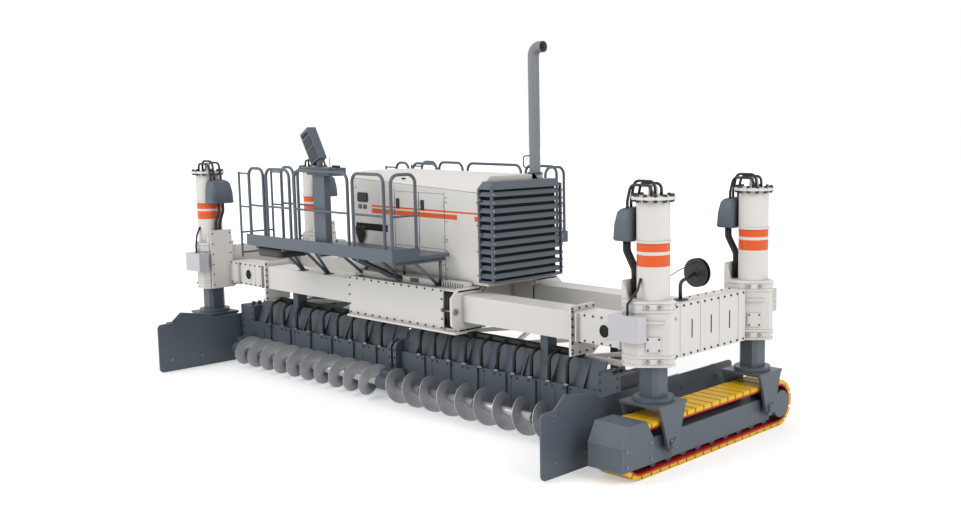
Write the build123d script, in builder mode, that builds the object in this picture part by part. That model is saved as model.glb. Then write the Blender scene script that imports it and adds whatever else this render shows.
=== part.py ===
"""Slipform paver on two tracks, in millimetres.

X runs across the machine, along the paved width. -Y is the direction of travel, with the auger in
front. Z is up, and z = 0 is the ground under the tracks.
"""
import os
from math import atan2, cos, degrees, pi, radians, sin, sqrt, tan

from build123d import *

os.makedirs("parts", exist_ok=True)

# Clearances
RUN = 5.0           # between pieces that move past each other
FIT = 0.3           # between pieces of one body that seat on each other
PANEL_GAP = 4.0     # between neighbouring panels of the hood

# Columns, one near each corner
COLUMN_X = 4363.0   # half the distance between the left and right columns
COLUMN_Y = 920.0    # half the distance between the front and rear columns
TUBE_R = 175.0
TUBE_WALL = 18.0
TUBE_TOP = 2826.0
FLANGE_R = 230.0
FLANGE_T = 35.0
FLANGE_BOLTS = 12
LUG_W = 110.0       # lifting lug on each flange
LUG_T = 30.0
LUG_HOLE_Z = 70.0
LUG_HOLE_R = 28.0
LEG_HALF = 125.0    # half the width of the square leg inside the tube
LEG_CORNER = 45.0
LEG_TOP = 2480.0
LEG_GUIDE_H = 90.0  # round guide at the leg's top, running in the tube
RING_R = 215.0
RING_T = 45.0

# Clamps that hold the columns
CLAMP_LOW = 1101.0
CLAMP_TOP = 1790.0
CLAMP_HALF = 262.0  # half the width of the clamp's plates
CLAMP_CORNER = 95.0
CLAMP_PLATE = 28.0
COLLAR_H = 120.0    # height of each pair of plates
CLAMP_BODY = 222.0  # half the width of the body between the collars

# Tracks
TRACK_X = 4357.0
PAD_W = 421.0       # width of the shoes and pads
TRACK_FRONT = 1640.0    # reach of the shoes in front of the columns' middle
TRACK_REAR = 1465.0
TRACK_H = 560.0
PAD_T = 45.0
SHOE_T = 22.0
SHOES = 44
CHAIN_W = 190.0
FRAME_W = 360.0     # width over the side plates of the track frame
FRAME_PLATE = 20.0
FRAME_TOP = 392.0
FRAME_LOW = 110.0
FRAME_BOX_H = 180.0     # height of the box between the side plates
WHEEL_GAP = 20.0        # from the box to the end wheels
AXLE_R = 40.0
ROLLERS = 9
ROLLER_IN = 25.0    # from the end wheels' rims to the first and last roller's axes
ROLLER_R = 62.0
GUARD_FRONT = 1690.0
GUARD_T = 10.0
GUARD_GAP = 8.0
GUARD_BOSS_Y = 1190.0   # bosses that hold the guard to the track frame
GUARD_BOSS_Z = 250.0
GUARD_BOSS_R = 30.0
# Side outline of the guard: reach in front of the columns' middle, height
GUARD_OUTLINE = [(GUARD_FRONT, 140), (GUARD_FRONT, 400), (GUARD_FRONT - 110, 600), (1300, 600),
                 (1190, 400), (1150, 200), (1150, 140)]
# The space inside it, open below and behind
GUARD_INSIDE = [(GUARD_FRONT - GUARD_T, 100), (GUARD_FRONT - GUARD_T, 397),
                (GUARD_FRONT - 116, 600 - GUARD_T), (1200, 600 - GUARD_T), (1100, 400), (1100, 100)]
DRIVE_R = 160.0
DRIVE_T = 70.0

# Yokes that carry the tracks
YOKE_TOP = 718.0
YOKE_PLATE = 30.0
YOKE_Y = 235.0      # half the length of the top plate
CHEEK_T = 36.0
CHEEK_GAP = 26.0    # between a cheek and the pads
CHEEK_FOOT = 90.0
PIVOT_Z = 285.0
PIVOT_R = 45.0

# Main frame
BEAM_Y = 790.0      # outer face of the telescopic beams
BEAM_D = 353.0
BEAM_LOW = 1165.0
BEAM_TOP = 1496.0
BEAM_END = 3060.0
BEAM_WALL = 16.0
HOUSING_Y = 875.0
HOUSING_LOW = 1048.0
HOUSING_TOP = 1554.0
HOUSING_X = 910.0
HOUSING_END = 1180.0
HOUSING_WALL = 20.0
COLLAR_T = 40.0     # thickness of the plate round each end of a housing
GIRDER_X = 700.0
GIRDER_W = 260.0
DECK_Z = 1640.0
DECK_T = 40.0

# End frames between the columns of one side
END_OUT = 4435.0
END_IN = 4190.0
END_LOW = 1110.0
END_TOP = 1700.0
END_WALL = 18.0

# Brackets from the beams to the clamps
BRACKET_FLANGE_T = 36.0
BRACKET_LOW = 985.0
BRACKET_TOP = 1560.0
BRACKET_HOLE_R = 72.0

WALK_Z = 1975.0         # top of the walkway

# Hood and engine
HOOD_Y = 575.0
HOOD_LEFT = -1235.0
HOOD_RIGHT = 1325.0
HOOD_LOW = 1665.0
HOOD_TOP = 2940.0
HOOD_EAVE = 2740.0      # height where the side panels meet the sloped roof edge
HOOD_SLOPE_IN = 190.0
PANEL_T = 30.0
DOOR_W = 500.0
DOOR_START = -323.0
DOOR_LOW = WALK_Z + 25.0
DOOR_HIGH = 2700.0
HINGES_Z = (DOOR_LOW + 130.0, DOOR_HIGH - 130.0)
DOOR_GAP = 14.0         # between the doors, room for a door's edge to pass the hinge beside it
DOOR_CLEAR = 3.0        # from the doors' backs to the posts
KNUCKLE_R = 9.0
KNUCKLE_OUT = 9.5       # hinge axis in front of the doors' faces
KNUCKLE_H = 50.0
KNUCKLE_FIXED = 30.0
LEAF_W = 55.0
LEAF_T = 6.0
WEB_T = 3.0             # leaf of a fixed knuckle, in the gap beside its door
WEB_GAP = 2.0           # from the door's edge to that leaf
HANDLE_IN = 45.0
HANDLE_W = 59.0
HANDLE_T = 12.0
HANDLE_Z = 2481.0
HANDLE_H = 128.0
POST_HALF = 30.0        # door posts behind the edges of the doors
DOOR_POST_D = 40.0
GRILLE_END = 1590.0
GRILLE_TOP = 2885.0
GRILLE_LOW = 1640.0
GRILLE_HALF = 600.0
SLATS = 11
ENGINE = (1500.0, 760.0, 900.0)

# Exhaust
PIPE_R = 72.5
PIPE_X = 1280.0
PIPE_Y = 438.0
PIPE_TOP = 4430.0
PIPE_BEND = 120.0

# Walkway: wide beside the hood, a narrow catwalk beyond the hood's left end
WALK_T = 45.0
WALK_FRONT = 1515.0
WALK_RIGHT = 824.0
WALK_LEFT = -2350.0
WALK_GAP = 60.0     # between the hood and the walkway
CATWALK_RIGHT = -1300.0
CATWALK_IN = 955.0
BRACE_T = 24.0
# Gusset plates under the walkway: place along X, whether they stand on a housing
BRACES = [(-2250, False), (-1650, False), (-800, True), (0, True), (720, True)]
RAIL_R = 20.0
RAIL_H = 1005.0
RAIL_CORNER = 110.0
RAIL_IN = 34.0      # from the deck's edge to the rails
# Posts of the rail loops along the outer edge and along the catwalk's inner edge: left, right
OUTER_RAILS = [(-2280, -1935), (-1865, -1325), (-1210, -65), (35, 650)]
INNER_RAILS = [(-2280, -1986), (-1884, -1325)]
SIDE_RAIL = 362.0   # width of the loop across the right end
TOE_H = 110.0
TOE_T = 8.0

# Console
POST_X = -760.0
POST_Y = 1375.0
POST_W = 250.0
POST_D = 90.0
POST_TOP = 2930.0
TRAY_LEFT = -939.0
TRAY_RIGHT = -346.0
TRAY_H = 103.0
TRAY_D = 170.0
PANEL_LONG = 448.0      # tilted operating panel
PANEL_WIDE = 200.0
PANEL_DEEP = 120.0
PANEL_TILT = 30.5
PANEL_MID = (-904.0, 3293.0)

# Ladder at the catwalk's end
LADDER_X = -2530.0
LADDER_LOW = 1750.0
LADDER_TOP = 2925.0
LADDER_R = 15.0
RUNG_STEP = 280.0
RUNG_R = 12.0

# Mold
MOLD_HALF = 3790.0
WALL_Y = 805.0
WALL_T = 14.0
WALL_LOW = 60.0
WALL_TOP = 640.0
PAN_T = 60.0
RIB_TOP = 450.0
HANGER_X = 2527.0
PAN_REAR = 1180.0
HOSES = 19
HOSE_R = 22.0
HOSE_IN = 60.0      # from the wall's face to the hoses
TROUGH_LOW = 420.0
TROUGH_TOP = 620.0
TROUGH_REAR = 250.0
GUIDE_T = 36.0      # side plate guides on the mold's ends

# Augers
AUGER_Y = 1050.0
AUGER_Z = 263.0
AUGER_R = 215.0
AUGER_PITCH = 330.0
AUGER_TURNS = 10
FLIGHT_T = 12.0
SHAFT_R = 55.0
AUGER_GAP = 110.0   # from the middle to the inner end of each half
AUGER_END_W = 120.0     # width of the outer carriers

# Side plates
PLATE_X = 3850.0
PLATE_T = 24.0
PLATE_FRONT = 2085.0
PLATE_LEN = 3300.0
PLATE_LOW = 14.0
PLATE_H = 700.0

# The columns' middle lies so far behind the origin that the origin is the middle of the whole.
MID_Y = (PLATE_FRONT - TRACK_REAR) / 2


def block(x, y, z, mode=Mode.ADD):
    """A box between the limits given as (low, high) along each axis."""
    with Locations(((x[0] + x[1]) / 2, (y[0] + y[1]) / 2, (z[0] + z[1]) / 2)):
        Box(x[1] - x[0], y[1] - y[0], z[1] - z[0], mode=mode)


def span(a, b):
    """The two limits in rising order, so that a mirrored pair can be written once."""
    return (min(a, b), max(a, b))


def save(part, label):
    part.label = label
    export_step(part, f"parts/{label}.step")


SIDES = {"left": -1, "right": 1}
ENDS = {"front": -1, "rear": 1}
COLUMNS = [(sx * COLUMN_X, MID_Y + sy * COLUMN_Y, sx, sy) for sx in (-1, 1) for sy in (-1, 1)]

# Column tubes, each with its bolted flange on top
with BuildPart() as column_tubes:
    for x, y, sx, sy in COLUMNS:
        with BuildSketch(Plane.XY.offset(CLAMP_LOW + COLLAR_H)) as ring:
            with Locations((x, y)):
                Circle(TUBE_R)
                Circle(TUBE_R - TUBE_WALL, mode=Mode.SUBTRACT)
        extrude(amount=TUBE_TOP - CLAMP_LOW - COLLAR_H)
        with BuildSketch(Plane.XY.offset(TUBE_TOP)) as flange:
            with Locations((x, y)):
                Circle(FLANGE_R)
        extrude(amount=FLANGE_T)
        with BuildSketch(Plane((x, y, TUBE_TOP + FLANGE_T), x_dir=(1, 0, 0), z_dir=(0, -1, 0))):
            with Locations((0, LUG_HOLE_Z / 2)):
                Rectangle(LUG_W, LUG_HOLE_Z)
            with Locations((0, LUG_HOLE_Z)):
                Circle(LUG_W / 2)
                Circle(LUG_HOLE_R, mode=Mode.SUBTRACT)
        extrude(amount=LUG_T / 2, both=True)
save(column_tubes.part, "column_tubes")

# Clamps: two octagonal collars and the body between them
with BuildPart() as column_clamps:
    for x, y, sx, sy in COLUMNS:
        for z in (CLAMP_LOW, CLAMP_LOW + COLLAR_H - CLAMP_PLATE,
                  CLAMP_TOP - COLLAR_H, CLAMP_TOP - CLAMP_PLATE):
            with BuildSketch(Plane.XY.offset(z)):
                with Locations((x, y)):
                    plate = Rectangle(2 * CLAMP_HALF, 2 * CLAMP_HALF)
                    chamfer(plate.vertices(), CLAMP_CORNER)
                    Circle(TUBE_R + FIT, mode=Mode.SUBTRACT)
            extrude(amount=CLAMP_PLATE)
        with BuildSketch(Plane.XY.offset(CLAMP_LOW)):
            with Locations((x, y)):
                body = Rectangle(2 * CLAMP_BODY, 2 * CLAMP_BODY)
                chamfer(body.vertices(), CLAMP_CORNER)
                Circle(TUBE_R + FIT, mode=Mode.SUBTRACT)
        extrude(amount=CLAMP_TOP - CLAMP_LOW)
save(column_clamps.part, "column_clamps")

# Moulded covers on the inboard side of each tube
COVER_W = 230.0
COVER_D = 330.0
COVER_LOW = 2410.0
COVER_TOP = 2720.0
with BuildPart() as column_covers:
    for x, y, sx, sy in COLUMNS:
        near = x - sx * (TUBE_R + FIT)
        with BuildSketch(Plane.XZ.offset(-(y + COVER_D / 2))):
            with BuildLine():
                Polyline((near, COVER_LOW), (near - sx * COVER_W, COVER_LOW),
                         (near - sx * (COVER_W - 60), COVER_TOP), (near, COVER_TOP), close=True)
            make_face()
        extrude(amount=COVER_D)
save(column_covers.part, "column_covers")

# Valve boxes outside the clamps
BOX_W = 390.0
BOX_D = 148.0
BOX_LOW = 1375.0
BOX_TOP = 1645.0
BOX_IN = 105.0      # from the column's axis to the box's middle
with BuildPart() as valve_boxes:
    for x, y, sx, sy in COLUMNS:
        near = y + sy * (CLAMP_BODY + FIT)
        block((x - sx * BOX_IN - BOX_W / 2, x - sx * BOX_IN + BOX_W / 2),
              span(near, near + sy * BOX_D), (BOX_LOW, BOX_TOP))
save(valve_boxes.part, "valve_boxes")

# Telescopic beams: one hollow beam in front and one behind
for end, sy in ENDS.items():
    out = MID_Y + sy * BEAM_Y
    inner = MID_Y + sy * (BEAM_Y - BEAM_D)
    with BuildPart() as beam:
        block((-BEAM_END, BEAM_END), span(out, inner), (BEAM_LOW, BEAM_TOP))
        block((-BEAM_END, BEAM_END), span(out - sy * BEAM_WALL, inner + sy * BEAM_WALL),
              (BEAM_LOW + BEAM_WALL, BEAM_TOP - BEAM_WALL), mode=Mode.SUBTRACT)
    save(beam.part, f"{end}_beam")

# Housings in which the beams slide
for end, sy in ENDS.items():
    out = MID_Y + sy * HOUSING_Y
    inner = MID_Y + sy * (BEAM_Y - BEAM_D - FIT - HOUSING_WALL)
    with BuildPart() as housing:
        block((-HOUSING_X, HOUSING_X), span(out, inner), (HOUSING_LOW, HOUSING_TOP))
        block((-HOUSING_X, HOUSING_X), span(out - sy * HOUSING_WALL, inner + sy * HOUSING_WALL),
              (HOUSING_LOW + HOUSING_WALL, HOUSING_TOP - HOUSING_WALL), mode=Mode.SUBTRACT)
        for sx in (-1, 1):
            block(span(sx * (HOUSING_X - COLLAR_T), sx * HOUSING_X), span(out, inner),
                  (HOUSING_LOW, HOUSING_TOP))
            block(span(sx * (HOUSING_X - COLLAR_T), sx * HOUSING_X),
                  span(MID_Y + sy * (BEAM_Y + FIT), MID_Y + sy * (BEAM_Y - BEAM_D - FIT)),
                  (BEAM_LOW - FIT, BEAM_TOP + FIT), mode=Mode.SUBTRACT)
    save(housing.part, f"{end}_housing")

# Cross girders between the housings, with the deck on them
inner_y = BEAM_Y - BEAM_D - FIT - HOUSING_WALL
with BuildPart() as cross_girders:
    for sx in (-1, 1):
        block((sx * GIRDER_X - GIRDER_W / 2, sx * GIRDER_X + GIRDER_W / 2),
              (MID_Y - inner_y, MID_Y + inner_y), (HOUSING_LOW, DECK_Z - DECK_T))
save(cross_girders.part, "cross_girders")
with BuildPart() as deck_frame:
    block((HOOD_LEFT, GRILLE_END - 120), (MID_Y - HOOD_Y, MID_Y + HOOD_Y), (DECK_Z - DECK_T, DECK_Z))
save(deck_frame.part, "deck_frame")

# End frames with three slots in the outer face
with BuildPart() as end_frames:
    for sx in (-1, 1):
        reach = COLUMN_Y - CLAMP_HALF - FIT
        block(span(sx * END_IN, sx * END_OUT), (MID_Y - reach, MID_Y + reach), (END_LOW, END_TOP))
        block(span(sx * (END_IN + END_WALL), sx * (END_OUT - END_WALL)),
              (MID_Y - reach, MID_Y + reach), (END_LOW + END_WALL, END_TOP - END_WALL),
              mode=Mode.SUBTRACT)
save(end_frames.part, "end_frames")

# Brackets between the beams' ends and the clamps
with BuildPart() as beam_brackets:
    for sx in (-1, 1):
        for sy in (-1, 1):
            out = MID_Y + sy * (BEAM_Y + 40)
            inner = MID_Y + sy * (BEAM_Y - BEAM_D)
            flange_in = BEAM_END + FIT
            body_end = COLUMN_X - CLAMP_HALF - FIT
            block(span(sx * flange_in, sx * (flange_in + BRACKET_FLANGE_T)), span(out, inner),
                  (BRACKET_LOW, BRACKET_TOP))
            block(span(sx * flange_in, sx * body_end), span(out - sy * 40, inner),
                  (BEAM_LOW, BEAM_TOP))
save(beam_brackets.part, "beam_brackets")

# Hood: roof with sloped edges, fixed panels, doors, grille
seam = HOOD_EAVE + FIT
with BuildPart() as hood_roof:
    with BuildSketch(Plane.YZ.offset(HOOD_LEFT)):
        with BuildLine():
            Polyline((MID_Y - HOOD_Y, seam), (MID_Y - HOOD_Y + HOOD_SLOPE_IN, HOOD_TOP),
                     (MID_Y + HOOD_Y - HOOD_SLOPE_IN, HOOD_TOP), (MID_Y + HOOD_Y, seam), close=True)
        make_face()
    extrude(amount=HOOD_RIGHT - HOOD_LEFT)
save(hood_roof.part, "hood_roof")
with BuildPart() as hood_panels:
    for sy in (-1, 1):
        face = span(MID_Y + sy * HOOD_Y, MID_Y + sy * (HOOD_Y - PANEL_T))
        last = DOOR_START + 2 * DOOR_W
        block((HOOD_LEFT + PANEL_T + PANEL_GAP, DOOR_START - PANEL_GAP), face, (DECK_Z + FIT, HOOD_EAVE))
        block((last + PANEL_GAP, HOOD_RIGHT), face, (DECK_Z + FIT, HOOD_EAVE))
    block((HOOD_LEFT, HOOD_LEFT + PANEL_T), (MID_Y - HOOD_Y, MID_Y + HOOD_Y), (DECK_Z + FIT, HOOD_EAVE))
save(hood_panels.part, "hood_panels")
with BuildPart() as hood_posts:
    for sy in (-1, 1):
        back = HOOD_Y - PANEL_T - DOOR_CLEAR
        for n in range(3):
            x = DOOR_START + n * DOOR_W
            block((x - POST_HALF, x + POST_HALF), span(MID_Y + sy * back, MID_Y + sy * (back - DOOR_POST_D)),
                  (DECK_Z + FIT, HOOD_EAVE))
            if n == 0:
                continue
            web = x - DOOR_GAP / 2 + WEB_GAP + WEB_T
            for z in HINGES_Z:
                for side_z in (-1, 1):
                    low = z + side_z * (KNUCKLE_H / 2 + FIT)
                    height = span(low, low + side_z * KNUCKLE_FIXED)
                    with BuildSketch(Plane.XY.offset(height[0])):
                        with Locations((web - KNUCKLE_R, MID_Y + sy * (HOOD_Y + KNUCKLE_OUT))):
                            Circle(KNUCKLE_R)
                    extrude(amount=KNUCKLE_FIXED)
                    block((web - WEB_T, web),
                          span(MID_Y + sy * (back - 1), MID_Y + sy * (HOOD_Y + KNUCKLE_OUT)), height)
save(hood_posts.part, "hood_posts")
for end, sy in ENDS.items():
    for n in range(2):
        left = DOOR_START + n * DOOR_W
        face = MID_Y + sy * HOOD_Y
        edge = left + DOOR_W - DOOR_GAP / 2
        axis_x = edge + WEB_GAP + WEB_T - KNUCKLE_R
        axis_y = face + sy * KNUCKLE_OUT
        with BuildPart() as door:
            block((left + DOOR_GAP / 2, edge),
                  span(face, face - sy * PANEL_T), (DOOR_LOW, DOOR_HIGH))
            block((left + HANDLE_IN, left + HANDLE_IN + HANDLE_W),
                  span(face, face + sy * HANDLE_T), (HANDLE_Z, HANDLE_Z + HANDLE_H))
            for z in HINGES_Z:
                with BuildSketch(Plane.XY.offset(z - KNUCKLE_H / 2)):
                    with Locations((axis_x, axis_y)):
                        Circle(KNUCKLE_R)
                extrude(amount=KNUCKLE_H)
                block((axis_x - LEAF_W, axis_x), span(face, face + sy * LEAF_T),
                      (z - KNUCKLE_H / 2, z + KNUCKLE_H / 2))
        save(door.part, f"{end}_door_{n + 1}")
with BuildPart() as hood_grille:
    block((HOOD_RIGHT + FIT, GRILLE_END), (MID_Y - GRILLE_HALF, MID_Y + GRILLE_HALF),
          (GRILLE_LOW, GRILLE_TOP))
save(hood_grille.part, "hood_grille")
with BuildPart() as engine_block:
    block((-ENGINE[0] / 2, ENGINE[0] / 2), (MID_Y - ENGINE[1] / 2, MID_Y + ENGINE[1] / 2),
          (DECK_Z, DECK_Z + ENGINE[2]))
save(engine_block.part, "engine_block")
with BuildPart() as exhaust_pipe:
    with BuildLine():
        rise = Line((PIPE_X, MID_Y + PIPE_Y, HOOD_TOP + FIT), (PIPE_X, MID_Y + PIPE_Y, PIPE_TOP))
        bend = TangentArc(rise @ 1, (PIPE_X + PIPE_BEND, MID_Y + PIPE_Y, PIPE_TOP + PIPE_BEND),
                          tangent=rise % 1)
        Line(bend @ 1, bend @ 1 + Vector(60, 0, 0))
    with BuildSketch(Plane(rise @ 0, z_dir=(0, 0, 1))):
        Circle(PIPE_R)
        Circle(PIPE_R - 6, mode=Mode.SUBTRACT)
    sweep()
save(exhaust_pipe.part, "exhaust_pipe")

# Walkways in front of and behind the hood, with toe boards along the outer edges
with BuildPart() as walkway:
    for sy in (-1, 1):
        with BuildSketch(Plane.XY.offset(WALK_Z - WALK_T)):
            with BuildLine():
                Polyline([(x, MID_Y + sy * y) for x, y in
                          ((WALK_LEFT, CATWALK_IN), (CATWALK_RIGHT, CATWALK_IN),
                           (CATWALK_RIGHT, HOOD_Y + WALK_GAP), (WALK_RIGHT, HOOD_Y + WALK_GAP),
                           (WALK_RIGHT, WALK_FRONT), (WALK_LEFT, WALK_FRONT))], close=True)
            make_face()
        extrude(amount=WALK_T)
        block((WALK_LEFT, WALK_RIGHT), span(MID_Y + sy * (WALK_FRONT - TOE_T), MID_Y + sy * WALK_FRONT),
              (WALK_Z - WALK_T, WALK_Z + TOE_H))
        side_reach = WALK_FRONT - RAIL_IN - SIDE_RAIL - RAIL_R
        block((WALK_RIGHT - TOE_T, WALK_RIGHT), span(MID_Y + sy * side_reach, MID_Y + sy * WALK_FRONT),
              (WALK_Z - WALK_T, WALK_Z + TOE_H))
save(walkway.part, "walkway")

# Gusset plates that carry the walkways, standing on the beams and housings
with BuildPart() as walkway_brackets:
    under = WALK_Z - WALK_T - FIT
    for sy in (-1, 1):
        for x, on_housing in BRACES:
            foot = (HOUSING_TOP if on_housing else BEAM_TOP) + FIT
            near = (HOOD_Y + WALK_GAP if on_housing else CATWALK_IN) + 10
            with BuildSketch(Plane((x - BRACE_T / 2, MID_Y, 0), x_dir=(0, 1, 0), z_dir=(1, 0, 0))):
                with BuildLine():
                    Polyline([(sy * y, z) for y, z in
                              ((BEAM_Y - 20, foot), (BEAM_Y - 140, foot), (near, under - 60), (near, under),
                               (WALK_FRONT - 30, under), (WALK_FRONT - 30, under - 50))], close=True)
                make_face()
            extrude(amount=BRACE_T)
save(walkway_brackets.part, "walkway_brackets")


def rail_loop(plane, width, height):
    """One bent handrail loop standing on the plane's X axis, with a mid rail."""
    with BuildLine(plane) as bend:
        FilletPolyline((-width / 2, 0), (-width / 2, height), (width / 2, height), (width / 2, 0),
                       radius=RAIL_CORNER)
    with BuildSketch(Plane(bend.line @ 0, z_dir=plane.y_dir)) as section:
        Circle(RAIL_R)
    sweep(sections=section.sketch, path=bend.line)
    middle = plane.from_local_coords((-width / 2, height / 2, 0))
    with BuildSketch(Plane(middle, z_dir=plane.x_dir)) as bar:
        Circle(RAIL_R * 0.7)
    extrude(to_extrude=bar.sketch, amount=width)


for end, sy in ENDS.items():
    with BuildPart() as railing:
        for rails, y in ((OUTER_RAILS, WALK_FRONT - RAIL_IN), (INNER_RAILS, CATWALK_IN + RAIL_IN)):
            for left, right in rails:
                rail_loop(Plane(((left + right) / 2, MID_Y + sy * y, WALK_Z + FIT), x_dir=(1, 0, 0),
                                z_dir=(0, -1, 0)), right - left, RAIL_H)
        rail_loop(Plane((WALK_RIGHT - RAIL_IN, MID_Y + sy * (WALK_FRONT - RAIL_IN - SIDE_RAIL / 2),
                         WALK_Z + FIT), x_dir=(0, 1, 0), z_dir=(1, 0, 0)), SIDE_RAIL, RAIL_H)
    save(railing.part, f"{end}_railing")

with BuildPart() as console_post:
    block((POST_X - POST_W / 2, POST_X + POST_W / 2),
          (MID_Y - POST_Y - POST_D / 2, MID_Y - POST_Y + POST_D / 2), (WALK_Z + FIT, POST_TOP))
save(console_post.part, "console_post")
with BuildPart() as console:
    block((TRAY_LEFT, TRAY_RIGHT), (MID_Y - POST_Y - TRAY_D / 2, MID_Y - POST_Y + TRAY_D / 2),
          (POST_TOP + FIT, POST_TOP + TRAY_H))
    with BuildSketch(Plane((0, MID_Y - POST_Y, 0), x_dir=(1, 0, 0), z_dir=(0, -1, 0))):
        with Locations(PANEL_MID):
            Rectangle(PANEL_WIDE, PANEL_LONG, rotation=PANEL_TILT)
    extrude(amount=PANEL_DEEP / 2, both=True)
    with BuildSketch(Plane.XY.offset(POST_TOP + TRAY_H - 1)):
        with Locations((POST_X - 20, MID_Y - POST_Y)):
            Circle(PANEL_DEEP / 3)
    extrude(amount=PANEL_MID[1] - POST_TOP - TRAY_H - PANEL_LONG / 4)
save(console.part, "console")

# Ladders at the catwalks' left ends, each stile tied to the nearest rail loops
with BuildPart() as ladder:
    rail_left = OUTER_RAILS[0][0] - RAIL_R - FIT
    for sy in (-1, 1):
        for rail_y in (WALK_FRONT - RAIL_IN, CATWALK_IN + RAIL_IN):
            with BuildSketch(Plane.XY.offset(LADDER_LOW)):
                with Locations((LADDER_X, MID_Y + sy * rail_y)):
                    Circle(LADDER_R)
            extrude(amount=LADDER_TOP - LADDER_LOW)
            for z in (LADDER_TOP - 20, (LADDER_TOP + WALK_Z) / 2):
                with BuildSketch(Plane((LADDER_X, MID_Y + sy * rail_y, z), z_dir=(1, 0, 0))):
                    Circle(RUNG_R)
                extrude(amount=rail_left - LADDER_X)
        for n in range(2):
            z = LADDER_LOW + 60 + n * RUNG_STEP
            with BuildSketch(Plane((LADDER_X, MID_Y + sy * (CATWALK_IN + RAIL_IN), z), z_dir=(0, sy, 0))):
                Circle(RUNG_R)
            extrude(amount=WALK_FRONT - CATWALK_IN - 2 * RAIL_IN)
save(ladder.part, "ladder")

# Mold: front wall, trough and pan
with BuildPart() as mold_wall:
    block((-MOLD_HALF, MOLD_HALF), (MID_Y - WALL_Y, MID_Y - WALL_Y + WALL_T), (WALL_LOW, WALL_TOP))
save(mold_wall.part, "mold_wall")
with BuildPart() as mold_trough:
    for sx in (-1, 1):
        block(span(sx * 30, sx * MOLD_HALF),
              (MID_Y - WALL_Y + WALL_T + FIT, MID_Y - TROUGH_REAR), (TROUGH_LOW, TROUGH_TOP))
save(mold_trough.part, "mold_trough")
with BuildPart() as mold_pan:
    block((-MOLD_HALF, MOLD_HALF), (MID_Y - 250, MID_Y + PAN_REAR), (WALL_LOW, WALL_LOW + PAN_T))
    for n in range(13):
        x = -MOLD_HALF + 30 + n * (2 * MOLD_HALF - 60) / 12
        block((x - 10, x + 10), (MID_Y - 250, MID_Y + PAN_REAR - 100), (WALL_LOW + PAN_T, RIB_TOP))
save(mold_pan.part, "mold_pan")
with BuildPart() as mold_ends:
    for sx in (-1, 1):
        near = sx * (MOLD_HALF + FIT)
        face = sx * (PLATE_X - PLATE_T / 2 - FIT)
        block(span(near, near + sx * 16), (MID_Y - WALL_Y, MID_Y + PAN_REAR), (WALL_LOW, WALL_TOP))
        for y in (-600, 200, 900):
            block(span(near, face), (MID_Y + y - 40, MID_Y + y + 40), (WALL_LOW + 60, WALL_TOP + 60))
save(mold_ends.part, "mold_ends")
with BuildPart() as mold_hangers:
    for sx in (-1, 1):
        for sy in (-1, 1):
            block((sx * HANGER_X - 60, sx * HANGER_X + 60),
                  span(MID_Y + sy * (BEAM_Y - 100), MID_Y + sy * (BEAM_Y - 250)),
                  ((TROUGH_TOP if sy < 0 else RIB_TOP) + FIT, BEAM_LOW - FIT))
save(mold_hangers.part, "mold_hangers")
with BuildPart() as vibrator_hoses:
    for n in range(HOSES):
        x = -3000 + 6000 * n / (HOSES - 1)
        top = HOUSING_LOW if abs(x) < HOUSING_X + 2 * HOSE_R else BEAM_LOW
        with BuildSketch(Plane.XY.offset(TROUGH_TOP + FIT)):
            with Locations((x, MID_Y - WALL_Y + HOSE_IN)):
                Circle(HOSE_R)
        extrude(amount=top - TROUGH_TOP - 2 * FIT)
save(vibrator_hoses.part, "vibrator_hoses")

# Augers: two halves of opposite hand on one axis
for side, sx in SIDES.items():
    with BuildPart() as auger:
        start = AUGER_GAP
        length = AUGER_PITCH * AUGER_TURNS
        with BuildSketch(Plane((sx * start, MID_Y - AUGER_Y, AUGER_Z), z_dir=(sx, 0, 0))):
            Circle(SHAFT_R)
        extrude(amount=length)
        for n in range(AUGER_TURNS):
            with BuildSketch(Plane((sx * (start + (n + 0.5) * AUGER_PITCH), MID_Y - AUGER_Y, AUGER_Z),
                                   z_dir=(sx, 0, 0))):
                Circle(AUGER_R)
            extrude(amount=FLIGHT_T)
    save(auger.part, f"{side}_auger")
with BuildPart() as auger_carriers:
    for x in (0, -1, 1):
        centre = x * (AUGER_GAP + AUGER_PITCH * AUGER_TURNS + AUGER_END_W / 2 + FIT)
        half = AUGER_GAP - FIT if x == 0 else AUGER_END_W / 2
        with BuildSketch(Plane((centre - half, MID_Y - AUGER_Y, AUGER_Z), z_dir=(1, 0, 0))):
            Circle(90)
        extrude(amount=2 * half)
        block((centre - half, centre + half), (MID_Y - AUGER_Y, MID_Y - WALL_Y - FIT), (AUGER_Z, 420))
save(auger_carriers.part, "auger_carriers")

# Side plates
for side, sx in SIDES.items():
    with BuildPart() as side_plate:
        front = MID_Y - PLATE_FRONT
        with BuildSketch(Plane((sx * PLATE_X, 0, 0), x_dir=(0, 1, 0), z_dir=(1, 0, 0))) as outline:
            with Locations((front + PLATE_LEN / 2, PLATE_LOW + PLATE_H / 2)):
                RectangleRounded(PLATE_LEN, PLATE_H, 60)
        extrude(amount=PLATE_T / 2, both=True)
    save(side_plate.part, f"{side}_side_plate")

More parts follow.
